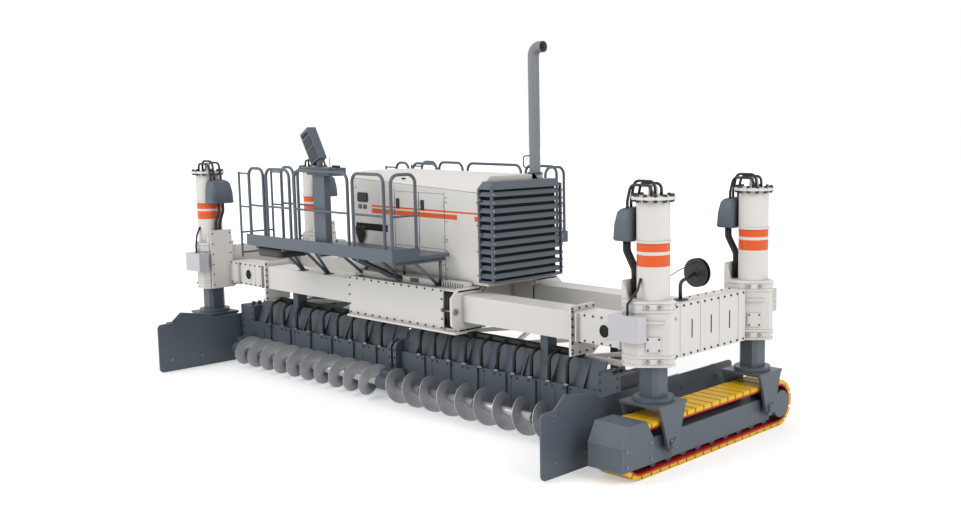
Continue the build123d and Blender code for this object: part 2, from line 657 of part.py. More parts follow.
# Undercarriage on each side
for side, sx in SIDES.items():
    with BuildPart() as legs:
        for sy in (-1, 1):
            with BuildSketch(Plane.XY.offset(YOKE_TOP + FIT)):
                with Locations((sx * COLUMN_X, MID_Y + sy * COLUMN_Y)):
                    Circle(RING_R)
            extrude(amount=RING_T)
            with BuildSketch(Plane.XY.offset(YOKE_TOP + FIT)):
                with Locations((sx * COLUMN_X, MID_Y + sy * COLUMN_Y)):
                    leg = Rectangle(2 * LEG_HALF, 2 * LEG_HALF)
                    chamfer(leg.vertices(), LEG_CORNER)
            extrude(amount=LEG_TOP - YOKE_TOP - FIT)
            with BuildSketch(Plane.XY.offset(LEG_TOP)):
                with Locations((sx * COLUMN_X, MID_Y + sy * COLUMN_Y)):
                    Circle(TUBE_R - TUBE_WALL - FIT)
            extrude(amount=-LEG_GUIDE_H)
    save(legs.part, f"{side}_legs")
    with BuildPart() as yokes:
        cheek_in = PAD_W / 2 + CHEEK_GAP
        cheek_out = cheek_in + CHEEK_T
        for sy in (-1, 1):
            y = MID_Y + sy * COLUMN_Y
            block((sx * TRACK_X - cheek_out, sx * TRACK_X + cheek_out), (y - YOKE_Y, y + YOKE_Y),
                  (YOKE_TOP - YOKE_PLATE, YOKE_TOP))
            for side_x in (-1, 1):
                with BuildSketch(Plane((sx * TRACK_X + side_x * (cheek_in + CHEEK_T / 2), 0, 0),
                                       x_dir=(0, 1, 0), z_dir=(1, 0, 0))):
                    with BuildLine():
                        Polyline((y - YOKE_Y + 20, YOKE_TOP - YOKE_PLATE), (y - CHEEK_FOOT, PIVOT_Z),
                                 (y + CHEEK_FOOT, PIVOT_Z), (y + YOKE_Y - 20, YOKE_TOP - YOKE_PLATE),
                                 close=True)
                    make_face()
                    with Locations((y, PIVOT_Z)):
                        Circle(CHEEK_FOOT)
                        Circle(PIVOT_R + FIT, mode=Mode.SUBTRACT)
                extrude(amount=CHEEK_T / 2, both=True)
    save(yokes.part, f"{side}_yokes")
    end_r = TRACK_H / 2
    front_c = MID_Y - TRACK_FRONT + end_r
    rear_c = MID_Y + TRACK_REAR - end_r
    with BuildPart() as track:
        with BuildSketch(Plane((sx * TRACK_X, 0, 0), x_dir=(0, 1, 0), z_dir=(1, 0, 0))):
            with Locations(((front_c + rear_c) / 2, end_r)):
                SlotOverall(TRACK_FRONT + TRACK_REAR, TRACK_H)
                SlotOverall(TRACK_FRONT + TRACK_REAR - 2 * (PAD_T + SHOE_T),
                            TRACK_H - 2 * (PAD_T + SHOE_T), mode=Mode.SUBTRACT)
        extrude(amount=PAD_W / 2, both=True)
    save(track.part, f"{side}_track")
    inner_r = end_r - PAD_T - SHOE_T - FIT
    frame_front = front_c - AXLE_R - 20
    frame_rear = rear_c - DRIVE_R - FIT
    with BuildPart() as track_frame:
        for side_x in (-1, 1):
            face = sx * TRACK_X + side_x * FRAME_W / 2
            block(span(face, face - side_x * FRAME_PLATE), (frame_front, frame_rear), (FRAME_LOW, FRAME_TOP))
        block((sx * TRACK_X - FRAME_W / 2 + 1, sx * TRACK_X + FRAME_W / 2 - 1),
              (front_c + inner_r + WHEEL_GAP, rear_c - inner_r - WHEEL_GAP),
              (FRAME_TOP - FRAME_BOX_H, FRAME_TOP - 6))
        first = front_c + inner_r + ROLLER_IN
        step = (rear_c - inner_r - ROLLER_IN - first) / (ROLLERS - 1)
        for n in range(ROLLERS):
            with BuildSketch(Plane((sx * TRACK_X, first + n * step, PAD_T + SHOE_T + FIT + ROLLER_R),
                                   z_dir=(1, 0, 0))):
                Circle(ROLLER_R)
            extrude(amount=FRAME_W / 2 - FRAME_PLATE, both=True)
        with BuildSketch(Plane((sx * TRACK_X, front_c, end_r), z_dir=(1, 0, 0))):
            Circle(inner_r)
        extrude(amount=CHAIN_W / 2, both=True)
        with BuildSketch(Plane((sx * TRACK_X, front_c, end_r), z_dir=(1, 0, 0))):
            Circle(AXLE_R)
        extrude(amount=FRAME_W / 2, both=True)
        for sy in (-1, 1):
            with BuildSketch(Plane((sx * TRACK_X, MID_Y + sy * COLUMN_Y, PIVOT_Z), z_dir=(1, 0, 0))):
                Circle(PIVOT_R)
            extrude(amount=cheek_out + 20, both=True)
    save(track_frame.part, f"{side}_track_frame")
    with BuildPart() as guard:
        half = PAD_W / 2 + GUARD_GAP + GUARD_T
        with BuildSketch(Plane((sx * TRACK_X, 0, 0), x_dir=(0, 1, 0), z_dir=(1, 0, 0))):
            with BuildLine():
                Polyline([(MID_Y - y, z) for y, z in GUARD_OUTLINE], close=True)
            make_face()
        extrude(amount=half, both=True)
        with BuildSketch(Plane((sx * TRACK_X, 0, 0), x_dir=(0, 1, 0), z_dir=(1, 0, 0))):
            with BuildLine():
                Polyline([(MID_Y - y, z) for y, z in GUARD_INSIDE], close=True)
            make_face()
        extrude(amount=half - GUARD_T, both=True, mode=Mode.SUBTRACT)
        for side_x in (-1, 1):
            near = sx * TRACK_X + side_x * (FRAME_W / 2 + FIT)
            with BuildSketch(Plane((near, MID_Y - GUARD_BOSS_Y, GUARD_BOSS_Z), z_dir=(side_x, 0, 0))):
                Circle(GUARD_BOSS_R)
            extrude(amount=half - GUARD_T - FRAME_W / 2 - FIT)
    save(guard.part, f"{side}_guard")
    with BuildPart() as drive:
        with BuildSketch(Plane((sx * TRACK_X, rear_c, end_r), z_dir=(1, 0, 0))):
            Circle(inner_r)
        extrude(amount=CHAIN_W / 2, both=True)
        with BuildSketch(Plane((sx * TRACK_X, rear_c, end_r), z_dir=(1, 0, 0))):
            Circle(DRIVE_R)
        extrude(amount=FRAME_W / 2, both=True)
        with BuildSketch(Plane((sx * (TRACK_X + FRAME_W / 2 - 1), rear_c, end_r), z_dir=(sx, 0, 0))):
            Circle(DRIVE_R)
        extrude(amount=DRIVE_T)
    save(drive.part, f"{side}_drive")
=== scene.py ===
"""Looks of a slipform paver: finishes, fixings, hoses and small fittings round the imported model.

Metres, in the model's own frame: X across the machine, -Y the direction of travel, Z up. Depths
along Y are counted from the middle between the front and rear columns.
"""
import math

import bmesh
import bpy
from bpy.props import FloatProperty, FloatVectorProperty, IntProperty, PointerProperty
from mathutils import Matrix, Vector


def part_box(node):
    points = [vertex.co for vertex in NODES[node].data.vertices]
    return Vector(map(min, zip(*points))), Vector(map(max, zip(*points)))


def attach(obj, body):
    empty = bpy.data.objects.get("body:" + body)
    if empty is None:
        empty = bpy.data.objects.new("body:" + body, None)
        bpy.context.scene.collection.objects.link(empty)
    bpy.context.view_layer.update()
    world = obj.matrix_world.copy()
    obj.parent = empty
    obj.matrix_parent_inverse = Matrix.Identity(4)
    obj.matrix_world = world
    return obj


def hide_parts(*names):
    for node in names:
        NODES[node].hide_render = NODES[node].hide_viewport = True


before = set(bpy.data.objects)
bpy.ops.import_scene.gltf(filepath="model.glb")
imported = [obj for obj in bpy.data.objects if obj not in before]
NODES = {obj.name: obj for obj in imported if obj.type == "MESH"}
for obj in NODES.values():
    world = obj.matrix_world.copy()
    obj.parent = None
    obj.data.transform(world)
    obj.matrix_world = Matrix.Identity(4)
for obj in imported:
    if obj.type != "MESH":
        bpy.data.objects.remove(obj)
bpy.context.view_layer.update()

bl_info = {
    "name": "Slipform paver",
    "version": (1, 0, 0),
    "blender": (4, 5, 0),
    "location": "View3D > Sidebar > Paver",
    "description": "Finishes, fixings, hoses and fittings of a slipform paver",
    "category": "Object",
}

SIDES = {"left": -1, "right": 1}
CORNERS = [(sx, sy) for sx in (-1, 1) for sy in (-1, 1)]
ACROSS, ALONG, UP = Vector((1, 0, 0)), Vector((0, 1, 0)), Vector((0, 0, 1))

# Middle between the front and rear columns, read from the tubes themselves
TUBE_LOW, TUBE_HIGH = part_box("column_tubes")
MID_Y = (TUBE_LOW.y + TUBE_HIGH.y) / 2

# Columns: place, tube, and the clamp's bore and half width
COLUMN_X, COLUMN_Y, TUBE_R = 4.363, 0.920, 0.175
COLUMNS = [(sx * COLUMN_X, MID_Y + sy * COLUMN_Y, sx, sy) for sx, sy in CORNERS]
BORE_R, CLAMP_HALF = 0.1753, 0.262
FLANGE_Z, FLANGE_BOLT_R = (2.826, 2.861), 0.204
COLUMN_BANDS = ((2.295, 2.381), (2.141, 2.261))

# Outer faces of the beams, housings and hood, the housings' inner face and the brackets' holes
BEAM_Y, HOUSING_Y, HOOD_Y, HOUSING_IN = 0.790, 0.875, 0.575, 0.4167
HOLE_X, HOLE_Z = 3.565, 1.3305
HOOD_STRIPES = ((2.473, 2.496), (2.388, 2.450))
HOOD_STRIPE_X, HOOD_STRIPE_GAP = (-0.812, 1.331), (0.917, 1.240)
DOOR_HANDLE_X, DOOR_HANDLE_Z = ((-0.28, -0.215), (0.22, 0.285)), (2.48, 2.61)

# Mold: front wall, hoses and the plates at the middle
WALL_Y = -0.805
HOSE_PLACES = [sx * (0.4 + n * 2.6 / (count - 1)) for sx, count in ((-1, 9), (1, 10)) for n in range(count)]
CENTRE_PLATES = (-0.12, -0.02)

# Augers: ends, axis, flight, shaft and couplings
AUGER_X, AUGER_Y, AUGER_Z = (0.110, 3.410), -1.05, 0.263
AUGER_R, SHAFT_R = 0.215, 0.055
COUPLINGS, COUPLING_R = (0.77, 1.76, 2.75), 0.074

# Side plates and tracks: places, the loop's end radius and straight run, pads and shoes
PLATE_X, TRACK_X, PIVOT_Z = 3.85, 4.357, 0.285
LOOP_R, LOOP_RUN, LOOP_MIDDLE = 0.280, 2.545, -0.0875
PAD_W, PAD_T, SHOE_T = 0.421, 0.045, 0.022
ROLLER_SPACE, ROLLER_TOP = 0.1595, 0.205


def colour_prop(name, text, default):
    return FloatVectorProperty(name=name, description=text, default=default, subtype="COLOR",
                               size=3, min=0.0, max=1.0)


def count_prop(name, text, default, low=3):
    return IntProperty(name=name, description=text, default=default, min=low, max=200)


def strength_prop(name, text, default, **more):
    return FloatProperty(name=name, description=text, default=default, min=0.0, **more)


class PaverPaint(bpy.types.PropertyGroup):
    """Colours of the paint, plastic and rubber."""
    cream: colour_prop("Warm white", "Frame, beams, columns and hood", (0.760, 0.735, 0.700))
    slate: colour_prop("Slate", "Covers, rails, grille and undercarriage", (0.092, 0.116, 0.143))
    mold: colour_prop("Mold", "Mold and trough", (0.066, 0.085, 0.107))
    stripe: colour_prop("Stripe", "Orange bands and stripes", (0.800, 0.105, 0.010))
    pad: colour_prop("Pads", "Track pads", (0.890, 0.520, 0.010))
    shoe: colour_prop("Shoes", "Steel shoes under the pads", (0.500, 0.020, 0.010))
    flight: colour_prop("Auger", "Auger flights and shafts", (0.430, 0.440, 0.460))
    rubber: colour_prop("Rubber", "Hoses and seals", (0.014, 0.014, 0.015))
    zinc: colour_prop("Zinc", "Bolts and fittings", (0.300, 0.300, 0.310))


class PaverSizes(bpy.types.PropertyGroup):
    """Sizes and counts of the small parts."""
    flange_bolt: strength_prop("Flange bolt", "Width across the corners of a flange bolt's head", 0.042,
                               unit="LENGTH")
    flange_bolts: count_prop("Flange bolts", "Bolts on each column flange", 12)
    turns: count_prop("Auger turns", "Turns of each auger's flight", 10, low=1)
    pads: count_prop("Track pads", "Pads on each track", 44, low=12)
    slats: count_prop("Grille slats", "Slats of the hood's grille", 11)


class PaverStudio(bpy.types.PropertyGroup):
    """Lamps and camera."""
    key: strength_prop("Key lamp", "Strength of the large lamp in front", 900.0, unit="POWER")
    side: strength_prop("Side lamp", "Strength of the lamp on the right", 420.0, unit="POWER")
    sky: strength_prop("Surroundings", "Strength of the even light all round", 0.62)
    lens: FloatProperty(name="Lens", description="Focal length of the camera in millimetres",
                        default=41.29, min=1.0)


def paint():
    return bpy.context.scene.paver_paint


def sizes():
    return bpy.context.scene.paver_sizes


# Nodes of a tree

def add(tree, kind, inputs=None, **settings):
    """One node, with its inputs linked or set by name or place."""
    made = tree.nodes.new(kind)
    for key, value in settings.items():
        setattr(made, key, value)
    for key, value in (inputs or {}).items():
        socket = made.inputs[key]
        if isinstance(value, bpy.types.NodeSocket):
            tree.links.new(value, socket)
        else:
            socket.default_value = value
    return made


def calc(tree, operation, a, b=0.0):
    return add(tree, "ShaderNodeMath", {0: a, 1: b}, operation=operation).outputs[0]


def both(tree, a, b):
    return calc(tree, "MULTIPLY", a, b)


def blend_colour(tree, fac, a, b, mode="MIX"):
    a, b = ((*v, 1.0) if hasattr(v, "__len__") else v for v in (a, b))
    return add(tree, "ShaderNodeMix", {0: fac, 6: a, 7: b}, data_type="RGBA", blend_type=mode).outputs[2]


def band(tree, value, low, high):
    """1 where the value lies between the limits."""
    return both(tree, calc(tree, "GREATER_THAN", value, low), calc(tree, "LESS_THAN", value, high))


def axes(tree, place):
    split = add(tree, "ShaderNodeSeparateXYZ", {0: place})
    return split.outputs[0], split.outputs[1], split.outputs[2]


def distance(tree, value, middle):
    return calc(tree, "ABSOLUTE", calc(tree, "SUBTRACT", value, middle))


def new_material(name, **fixed):
    material = bpy.data.materials.new(name)
    material.use_nodes = True
    tree = material.node_tree
    tree.nodes.clear()
    shader = add(tree, "ShaderNodeBsdfPrincipled", fixed)
    end = add(tree, "ShaderNodeOutputMaterial", {"Surface": shader.outputs[0]})
    return material, tree, shader, end


def surface(name, colour, rough=(0.34, 0.5), mottle=0.06, grain=70.0, relief=0.0006, grime=0.45,
            edge=0.004, marks=None, **fixed):
    """A finish with slow colour change, painted shade in the corners, fine grain and softened edges."""
    material, tree, shader, _ = new_material(name, **fixed)
    place = add(tree, "ShaderNodeTexCoord").outputs["Object"]
    slow = add(tree, "ShaderNodeTexNoise", {"Vector": place, "Scale": 0.9, "Detail": 6.0,
                                            "Roughness": 0.62}).outputs["Fac"]
    fine = add(tree, "ShaderNodeTexNoise", {"Vector": place, "Scale": grain, "Detail": 3.0}).outputs["Fac"]
    dark, pale = (tuple(min(1.0, c * factor) for c in colour) for factor in (1.0 - mottle, 1.0 + mottle))
    base = blend_colour(tree, slow, dark, pale)
    if marks:
        base = marks(tree, place, base)
    # Painted shade: ambient occlusion darkens the colour in corners, in recesses and between parts
    if grime:
        near = add(tree, "ShaderNodeAmbientOcclusion", {"Distance": 0.12}, samples=4).outputs["AO"]
        painted_shade_factor = add(tree, "ShaderNodeMapRange", {"Value": near, "From Min": 0.25, "From Max": 0.8,
                                                    "To Min": 1.0 - grime, "To Max": 1.0}).outputs[0]
        base = blend_colour(tree, 1.0, base, painted_shade_factor, mode="MULTIPLY")
    tree.links.new(base, shader.inputs["Base Color"])
    gloss = add(tree, "ShaderNodeMapRange", {"Value": slow, "From Min": 0.3, "From Max": 0.7,
                                             "To Min": rough[0], "To Max": rough[1]}).outputs[0]
    tree.links.new(gloss, shader.inputs["Roughness"])
    bump = add(tree, "ShaderNodeBump", {"Height": fine, "Strength": 0.25, "Distance": relief})
    if edge:
        soft = add(tree, "ShaderNodeBevel", {"Radius": edge}, samples=4)
        tree.links.new(soft.outputs[0], bump.inputs["Normal"])
    tree.links.new(bump.outputs[0], shader.inputs["Normal"])
    return material


def column_marks(tree, place, base):
    height = axes(tree, place)[2]
    for low, high in COLUMN_BANDS:
        base = blend_colour(tree, band(tree, height, low, high), base, paint().stripe)
    return base


def hood_marks(tree, place, base):
    """Two stripes along each side, the lower one with a gap."""
    across, along, height = axes(tree, place)
    outer = calc(tree, "GREATER_THAN", distance(tree, along, MID_Y), 0.57)
    length = band(tree, across, *HOOD_STRIPE_X)
    broken = both(tree, length, calc(tree, "SUBTRACT", 1.0, band(tree, across, *HOOD_STRIPE_GAP)))
    for (low, high), run in zip(HOOD_STRIPES, (length, broken)):
        here = both(tree, both(tree, band(tree, height, low, high), run), outer)
        base = blend_colour(tree, here, base, paint().stripe)
    return base


def door_marks(tree, place, base):
    """The hood's stripes, and black handles where they stand out from the doors."""
    base = hood_marks(tree, place, base)
    across, along, height = axes(tree, place)
    proud = calc(tree, "GREATER_THAN", distance(tree, along, MID_Y), 0.5752)
    tall = both(tree, proud, band(tree, height, *DOOR_HANDLE_Z))
    handles = calc(tree, "ADD", *(band(tree, across, *limits) for limits in DOOR_HANDLE_X))
    return blend_colour(tree, both(tree, tall, handles), base, (0.012, 0.012, 0.013))


def roller_marks(tree, place, base):
    """The track frame is near-black between its side plates, below the rollers' top, where the rollers and
    chain run.
    """
    across, along, height = axes(tree, place)
    inside = calc(tree, "LESS_THAN", distance(tree, calc(tree, "ABSOLUTE", across), TRACK_X), ROLLER_SPACE)
    return blend_colour(tree, both(tree, inside, calc(tree, "LESS_THAN", height, ROLLER_TOP)), base,
                        (0.010, 0.010, 0.011))


def track_marks(tree, place, base):
    """Pads outside, steel shoes inside, told apart by the distance from the loop's middle line."""
    low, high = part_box("right_track")
    radius = (high.z - low.z) / 2
    middle = (low.y + high.y) / 2
    straight = (high.y - low.y) / 2 - radius
    along, height = axes(tree, place)[1:]
    over = calc(tree, "MAXIMUM", calc(tree, "SUBTRACT", distance(tree, along, middle), straight), 0.0)
    up = calc(tree, "SUBTRACT", height, radius)
    reach = calc(tree, "SQRT", calc(tree, "ADD", both(tree, over, over), both(tree, up, up)))
    return blend_colour(tree, calc(tree, "LESS_THAN", reach, radius - PAD_T), base, paint().shoe)


# Colour, as a name in PaverPaint or as numbers, and what differs from a plain surface
RECIPES = {
    "cream_enamel": ("cream", dict(mottle=0.025, grime=0.5)),
    "cream_column": ("cream", dict(mottle=0.025, grime=0.5, marks=column_marks)),
    "cream_hood": ("cream", dict(mottle=0.025, grime=0.4, marks=hood_marks)),
    "door": ("cream", dict(mottle=0.025, grime=0.4, marks=door_marks)),
    "slate_enamel": ("slate", dict(mottle=0.10, grime=0.55)),
    "slate_plastic": ("slate", dict(rough=(0.42, 0.55), mottle=0.08, grain=160.0, relief=0.0009,
                                    edge=0.012)),
    "track_frame": ("slate", dict(mottle=0.10, grime=0.5, marks=roller_marks)),
    "mold_enamel": ("mold", dict(rough=(0.38, 0.62), mottle=0.22, grime=0.6)),
    "auger_steel": ("flight", dict(rough=(0.28, 0.44), mottle=0.12, grime=0.3, edge=0.0, Metallic=0.55)),
    "track_loop": ("pad", dict(rough=(0.42, 0.58), mottle=0.07, relief=0.001, marks=track_marks)),
    "hose_rubber": ("rubber", dict(rough=(0.4, 0.6), mottle=0.2, grain=220.0)),
    "zinc": ("zinc", dict(rough=(0.28, 0.42), mottle=0.12, grime=0.4, edge=0.0015, Metallic=0.85)),
    "cast_iron": ((0.07, 0.07, 0.075), dict(rough=(0.6, 0.8), mottle=0.15, relief=0.002)),
    "black_plastic": ((0.022, 0.022, 0.025), dict(rough=(0.35, 0.5), mottle=0.15, grain=200.0)),
    # Painted shade: the white valve boxes get a darker lilac grey
    "box_enamel": ((0.58, 0.57, 0.60), dict(mottle=0.02, grime=0.35)),
    "pipe_enamel": ((0.215, 0.230, 0.250), dict(mottle=0.06, grime=0.3)),
    "dark_steel": ((0.045, 0.045, 0.05), dict(rough=(0.35, 0.5), mottle=0.1, grime=0.3, edge=0.0,
                                              Metallic=0.4)),
    # Near-black for dark seams, and painted shade in holes, slots and behind the grille
    "void": ((0.004, 0.004, 0.004), dict(rough=(0.8, 0.95), grime=0, edge=0.0)),
}
FINISHES = {}


def finish(name):
    """Each finish is made once, at its first use."""
    if name not in FINISHES:
        colour, options = RECIPES[name]
        if isinstance(colour, str):
            colour = getattr(paint(), colour)
        FINISHES[name] = surface(name, colour, **options)
    return FINISHES[name]


NODE_FINISH = {
    "column_tubes": "cream_column", "hood_panels": "cream_hood", "column_covers": "slate_plastic",
    "console_post": "slate_enamel", "console": "slate_plastic", "engine_block": "cast_iron",
    "exhaust_pipe": "pipe_enamel", "hood_grille": "slate_enamel", "ladder": "slate_enamel",
    "walkway": "slate_enamel", "walkway_brackets": "slate_enamel", "vibrator_hoses": "hose_rubber",
    "auger_carriers": "mold_enamel", "valve_boxes": "box_enamel",
}
ENDINGS = {"_track": "track_loop", "_track_frame": "track_frame", "_auger": "auger_steel",
           **dict.fromkeys(("_railing", "_legs", "_yokes", "_guard", "_drive", "_side_plate"),
                           "slate_enamel")}


def finish_of(node):
    if node in NODE_FINISH:
        return NODE_FINISH[node]
    for ending, name in ENDINGS.items():
        if node.endswith(ending):
            return name
    if node.startswith("mold_"):
        return "mold_enamel"
    return "door" if "_door_" in node else "cream_enamel"


# Meshes

def placed(name, mesh, body):
    piece = bpy.data.objects.new(name, mesh)
    bpy.context.scene.collection.objects.link(piece)
    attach(piece, body)
    return piece


class Piece:
    """A piece riding on one body, drawn in a bmesh by the lines under its with statement."""

    def __init__(self, name, slot, look, body="main_frame", replaces=()):
        self.name, self.slot, self.look, self.body, self.replaces = name, slot, look, body, replaces
        self.shape = bmesh.new()

    def __enter__(self):
        return self.shape

    def __exit__(self, error, *rest):
        if error is None:
            mesh = bpy.data.meshes.new(self.name)
            bmesh.ops.recalc_face_normals(self.shape, faces=self.shape.faces)
            self.shape.to_mesh(mesh)
            mesh.materials.append(finish(self.look))
            piece = placed(self.name, mesh, self.body)
            if self.replaces:
                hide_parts(*self.replaces)
        self.shape.free()


def at(x, y, z):
    return Vector((x, MID_Y + y, z))


def pair(side, a, b):
    """Limits on one side of the middle, in rising order."""
    return sorted((side * a, side * b))


def block(shape, x, y, z, soften=0.0):
    """A box between limits, its depth along Y counted from the columns' middle."""
    made = bmesh.ops.create_cube(shape, size=1.0)["verts"]
    for v in made:
        v.co = Vector((a[0] + (c + 0.5) * (a[1] - a[0]) for a, c in
                       zip((x, (MID_Y + y[0], MID_Y + y[1]), z), v.co)))
    if soften:
        bmesh.ops.bevel(shape, geom=list({e for v in made for e in v.link_edges}), offset=soften,
                        segments=2, affect="EDGES")


def blocks(shape, *limits):
    for x, y, z in limits:
        block(shape, x, y, z)


def rod(shape, a, b, radius, sides=16):
    """A round bar from one point to another."""
    run = b - a
    made = bmesh.ops.create_cone(shape, cap_ends=True, segments=sides, radius1=radius, radius2=radius,
                                 depth=run.length, matrix=Matrix.Translation((a + b) / 2) @
                                 run.to_track_quat("Z", "Y").to_matrix().to_4x4())["verts"]
    for face in {f for v in made for f in v.link_faces}:
        face.smooth = len(face.verts) == 4


def bar(shape, x, y, z, radius, sides=16):
    """A round bar along one axis, whose coordinate is given as start and end."""
    a, b = (at(*(c[k] if hasattr(c, "__len__") else c for c in (x, y, z))) for k in (0, 1))
    rod(shape, a, b, radius, sides)


def rounded(points, bend, steps=5):
    """The line through the points, each corner replaced by an arc."""
    line = [points[0]]
    for before, corner, after in zip(points, points[1:], points[2:]):
        back, on = (before - corner).normalized(), (after - corner).normalized()
        half = back.angle(on) / 2
        cut = min(bend / math.tan(half), 0.45 * (before - corner).length, 0.45 * (after - corner).length)
        radius = cut * math.tan(half)
        centre = corner + (back + on).normalized() * (radius / math.sin(half))
        start, end = corner + back * cut - centre, corner + on * cut - centre
        line += [centre + start.lerp(end, n / steps).normalized() * radius for n in range(steps + 1)]
    return line + [points[-1]]


def tube(shape, points, radius, bend=0.05, sides=10):
    """A round section swept along the line through the points."""
    line = rounded(points, bend) if len(points) > 2 else points
    side, rings = None, []
    for n, place in enumerate(line):
        along = (line[min(n + 1, len(line) - 1)] - line[max(n - 1, 0)]).normalized()
        side = side or along.orthogonal()
        side = (side - along * side.dot(along)).normalized()
        other = along.cross(side)
        rings.append([place + (side * math.cos(a) + other * math.sin(a)) * radius
                      for a in (2 * math.pi * k / sides for k in range(sides))])
    stack(shape, rings, smooth=range(sides))


def prism(shape, outline, base, u, v, depth):
    """An outline in the plane of u and v, extruded by the vector depth."""
    near = [base + u * a + v * b for a, b in outline]
    stack(shape, [near, [point + depth for point in near]])


def profile(shape, outline, x, width):
    """An outline in Y and Z, extruded across from x."""
    prism(shape, outline, at(x, 0, 0), ALONG, UP, ACROSS * width)


def stack(shape, rings, smooth=(), caps=True):
    """Faces between rings of points of one length, with both ends closed."""
    made = [[shape.verts.new(p) for p in ring] for ring in rings]
    count = len(made[0])
    for a, b in zip(made, made[1:]):
        for k in range(count):
            n = (k + 1) % count
            shape.faces.new((a[k], a[n], b[n], b[k])).smooth = k in smooth
    if caps:
        shape.faces.new(made[0])
        shape.faces.new(made[-1])


def soft_rect(half_u, half_v, radius, steps=5):
    """Outline of a rectangle with round corners."""
    corners = ((1, 1), (-1, 1), (-1, -1), (1, -1))
    return [(u * (half_u - radius) + radius * math.cos(a), v * (half_v - radius) + radius * math.sin(a))
            for q, (u, v) in enumerate(corners)
            for a in (math.pi / 2 * (q + k / steps) for k in range(steps + 1))]


def edge_reach(outline, angle):
    """Distance from the middle to the outline in one direction."""
    dx, dy = math.cos(angle), math.sin(angle)
    best = 0.0
    for (x0, y0), (x1, y1) in zip(outline, outline[1:] + outline[:1]):
        ex, ey = x1 - x0, y1 - y0
        across = dx * ey - dy * ex
        if abs(across) < 1e-9:
            continue
        t, s = (x0 * ey - y0 * ex) / across, (x0 * dy - y0 * dx) / across
        if t > 0 and -1e-6 <= s <= 1 + 1e-6:
            best = max(best, t)
    return best


def ring_plate(shape, x, y, outline, hole, low, high):
    """An upright plate of the given outline round x, y, with a round hole through it."""
    angles = sorted({round(math.atan2(v, u), 5) for u, v in outline} |
                    {round(math.pi * k / 16 - math.pi, 5) for k in range(32)})
    inner, outer = [(a, hole) for a in angles], [(a, edge_reach(outline, a)) for a in angles]
    rings = [[Vector((x + r * math.cos(a), y + r * math.sin(a), z)) for a, r in edge]
             for edge, z in ((inner, low), (outer, low), (outer, high), (inner, high))]
    stack(shape, rings + rings[:1], caps=False)
    bmesh.ops.remove_doubles(shape, verts=shape.verts, dist=1e-6)


def frustum(shape, x, y, z, inset):
    """A block whose top is smaller all round."""
    stack(shape, [[at(x[0] + d, y[0] + d, h), at(x[1] - d, y[0] + d, h), at(x[1] - d, y[1] - d, h),
                   at(x[0] + d, y[1] - d, h)] for d, h in ((0, z[0]), (inset, z[1]))])


def spread(start, end, count):
    return [start + (end - start) * n / (count - 1) for n in range(count)]


def grid(x, y, z, out):
    """Points at every mix of the given coordinates, each looking the same way."""
    xs, ys, zs = (c if hasattr(c, "__len__") else (c,) for c in (x, y, z))
    return [(at(x, y, z), out) for x in xs for y in ys for z in zs]


def bolt_tree():
    """Geometry Nodes: a hexagon head on a washer at every point, looking along its own direction."""
    name = "Bolt heads"
    if name in bpy.data.node_groups:
        return bpy.data.node_groups[name]
    tree = bpy.data.node_groups.new(name, "GeometryNodeTree")
    for label, kind in (("Geometry", "NodeSocketGeometry"), ("Head Width", "NodeSocketFloat"),
                        ("Head Height", "NodeSocketFloat"), ("Finish", "NodeSocketMaterial")):
        tree.interface.new_socket(label, in_out="INPUT", socket_type=kind)
    tree.interface.new_socket("Geometry", in_out="OUTPUT", socket_type="NodeSocketGeometry")
    given = tree.nodes.new("NodeGroupInput").outputs
    radius, height = calc(tree, "MULTIPLY", given["Head Width"], 0.5), given["Head Height"]
    head = add(tree, "GeometryNodeMeshCylinder", {"Vertices": 6, "Radius": radius, "Depth": height})
    lift = add(tree, "ShaderNodeCombineXYZ", {2: both(tree, height, 0.7)})
    raised = add(tree, "GeometryNodeTransform", {"Geometry": head.outputs[0],
                                                 "Translation": lift.outputs[0]})
    washer = add(tree, "GeometryNodeMeshCylinder", {"Vertices": 16, "Radius": both(tree, radius, 1.35),
                                                    "Depth": both(tree, height, 0.4)})
    whole = add(tree, "GeometryNodeJoinGeometry")
    for part in (raised, washer):
        tree.links.new(part.outputs[0], whole.inputs[0])
    out = add(tree, "GeometryNodeInputNamedAttribute", {"Name": "out"}, data_type="FLOAT_VECTOR")
    turn = add(tree, "FunctionNodeAlignEulerToVector", {"Vector": out.outputs[0]}, axis="Z")
    heads = add(tree, "GeometryNodeInstanceOnPoints", {"Points": given["Geometry"],
                                                       "Instance": whole.outputs[0],
                                                       "Rotation": turn.outputs[0]})
    real = add(tree, "GeometryNodeRealizeInstances", {0: heads.outputs[0]})
    coat = add(tree, "GeometryNodeSetMaterial", {"Geometry": real.outputs[0], "Material": given["Finish"]})
    end = tree.nodes.new("NodeGroupOutput")
    tree.links.new(coat.outputs[0], end.inputs[0])
    return tree


def bolts(name, points, width, height=None, look="zinc", body="main_frame"):
    """Bolt heads as one plain mesh, grown from points that each have an outward direction."""
    seed = bpy.data.meshes.new(name + "_points")
    seed.from_pydata([p for p, _ in points], [], [])
    out = seed.attributes.new("out", "FLOAT_VECTOR", "POINT")
    out.data.foreach_set("vector", [c for _, d in points for c in d])
    source = bpy.data.objects.new(name + "_source", seed)
    bpy.context.scene.collection.objects.link(source)
    modifier = source.modifiers.new("Grow", "NODES")
    modifier.node_group = tree = bolt_tree()
    values = {"Head Width": width, "Head Height": height or width * 0.5, "Finish": finish(look)}
    for item in tree.interface.items_tree:
        if item.item_type == "SOCKET" and item.in_out == "INPUT" and item.name in values:
            modifier[item.identifier] = values[item.name]
    bpy.context.view_layer.update()
    graph = bpy.context.evaluated_depsgraph_get()
    mesh = bpy.data.meshes.new_from_object(source.evaluated_get(graph), depsgraph=graph)
    mesh.name = name
    bpy.data.objects.remove(source)
    if not mesh.polygons:
        raise RuntimeError(f"{name} came out empty")
    placed(name, mesh, body)


# Places shared by several pieces

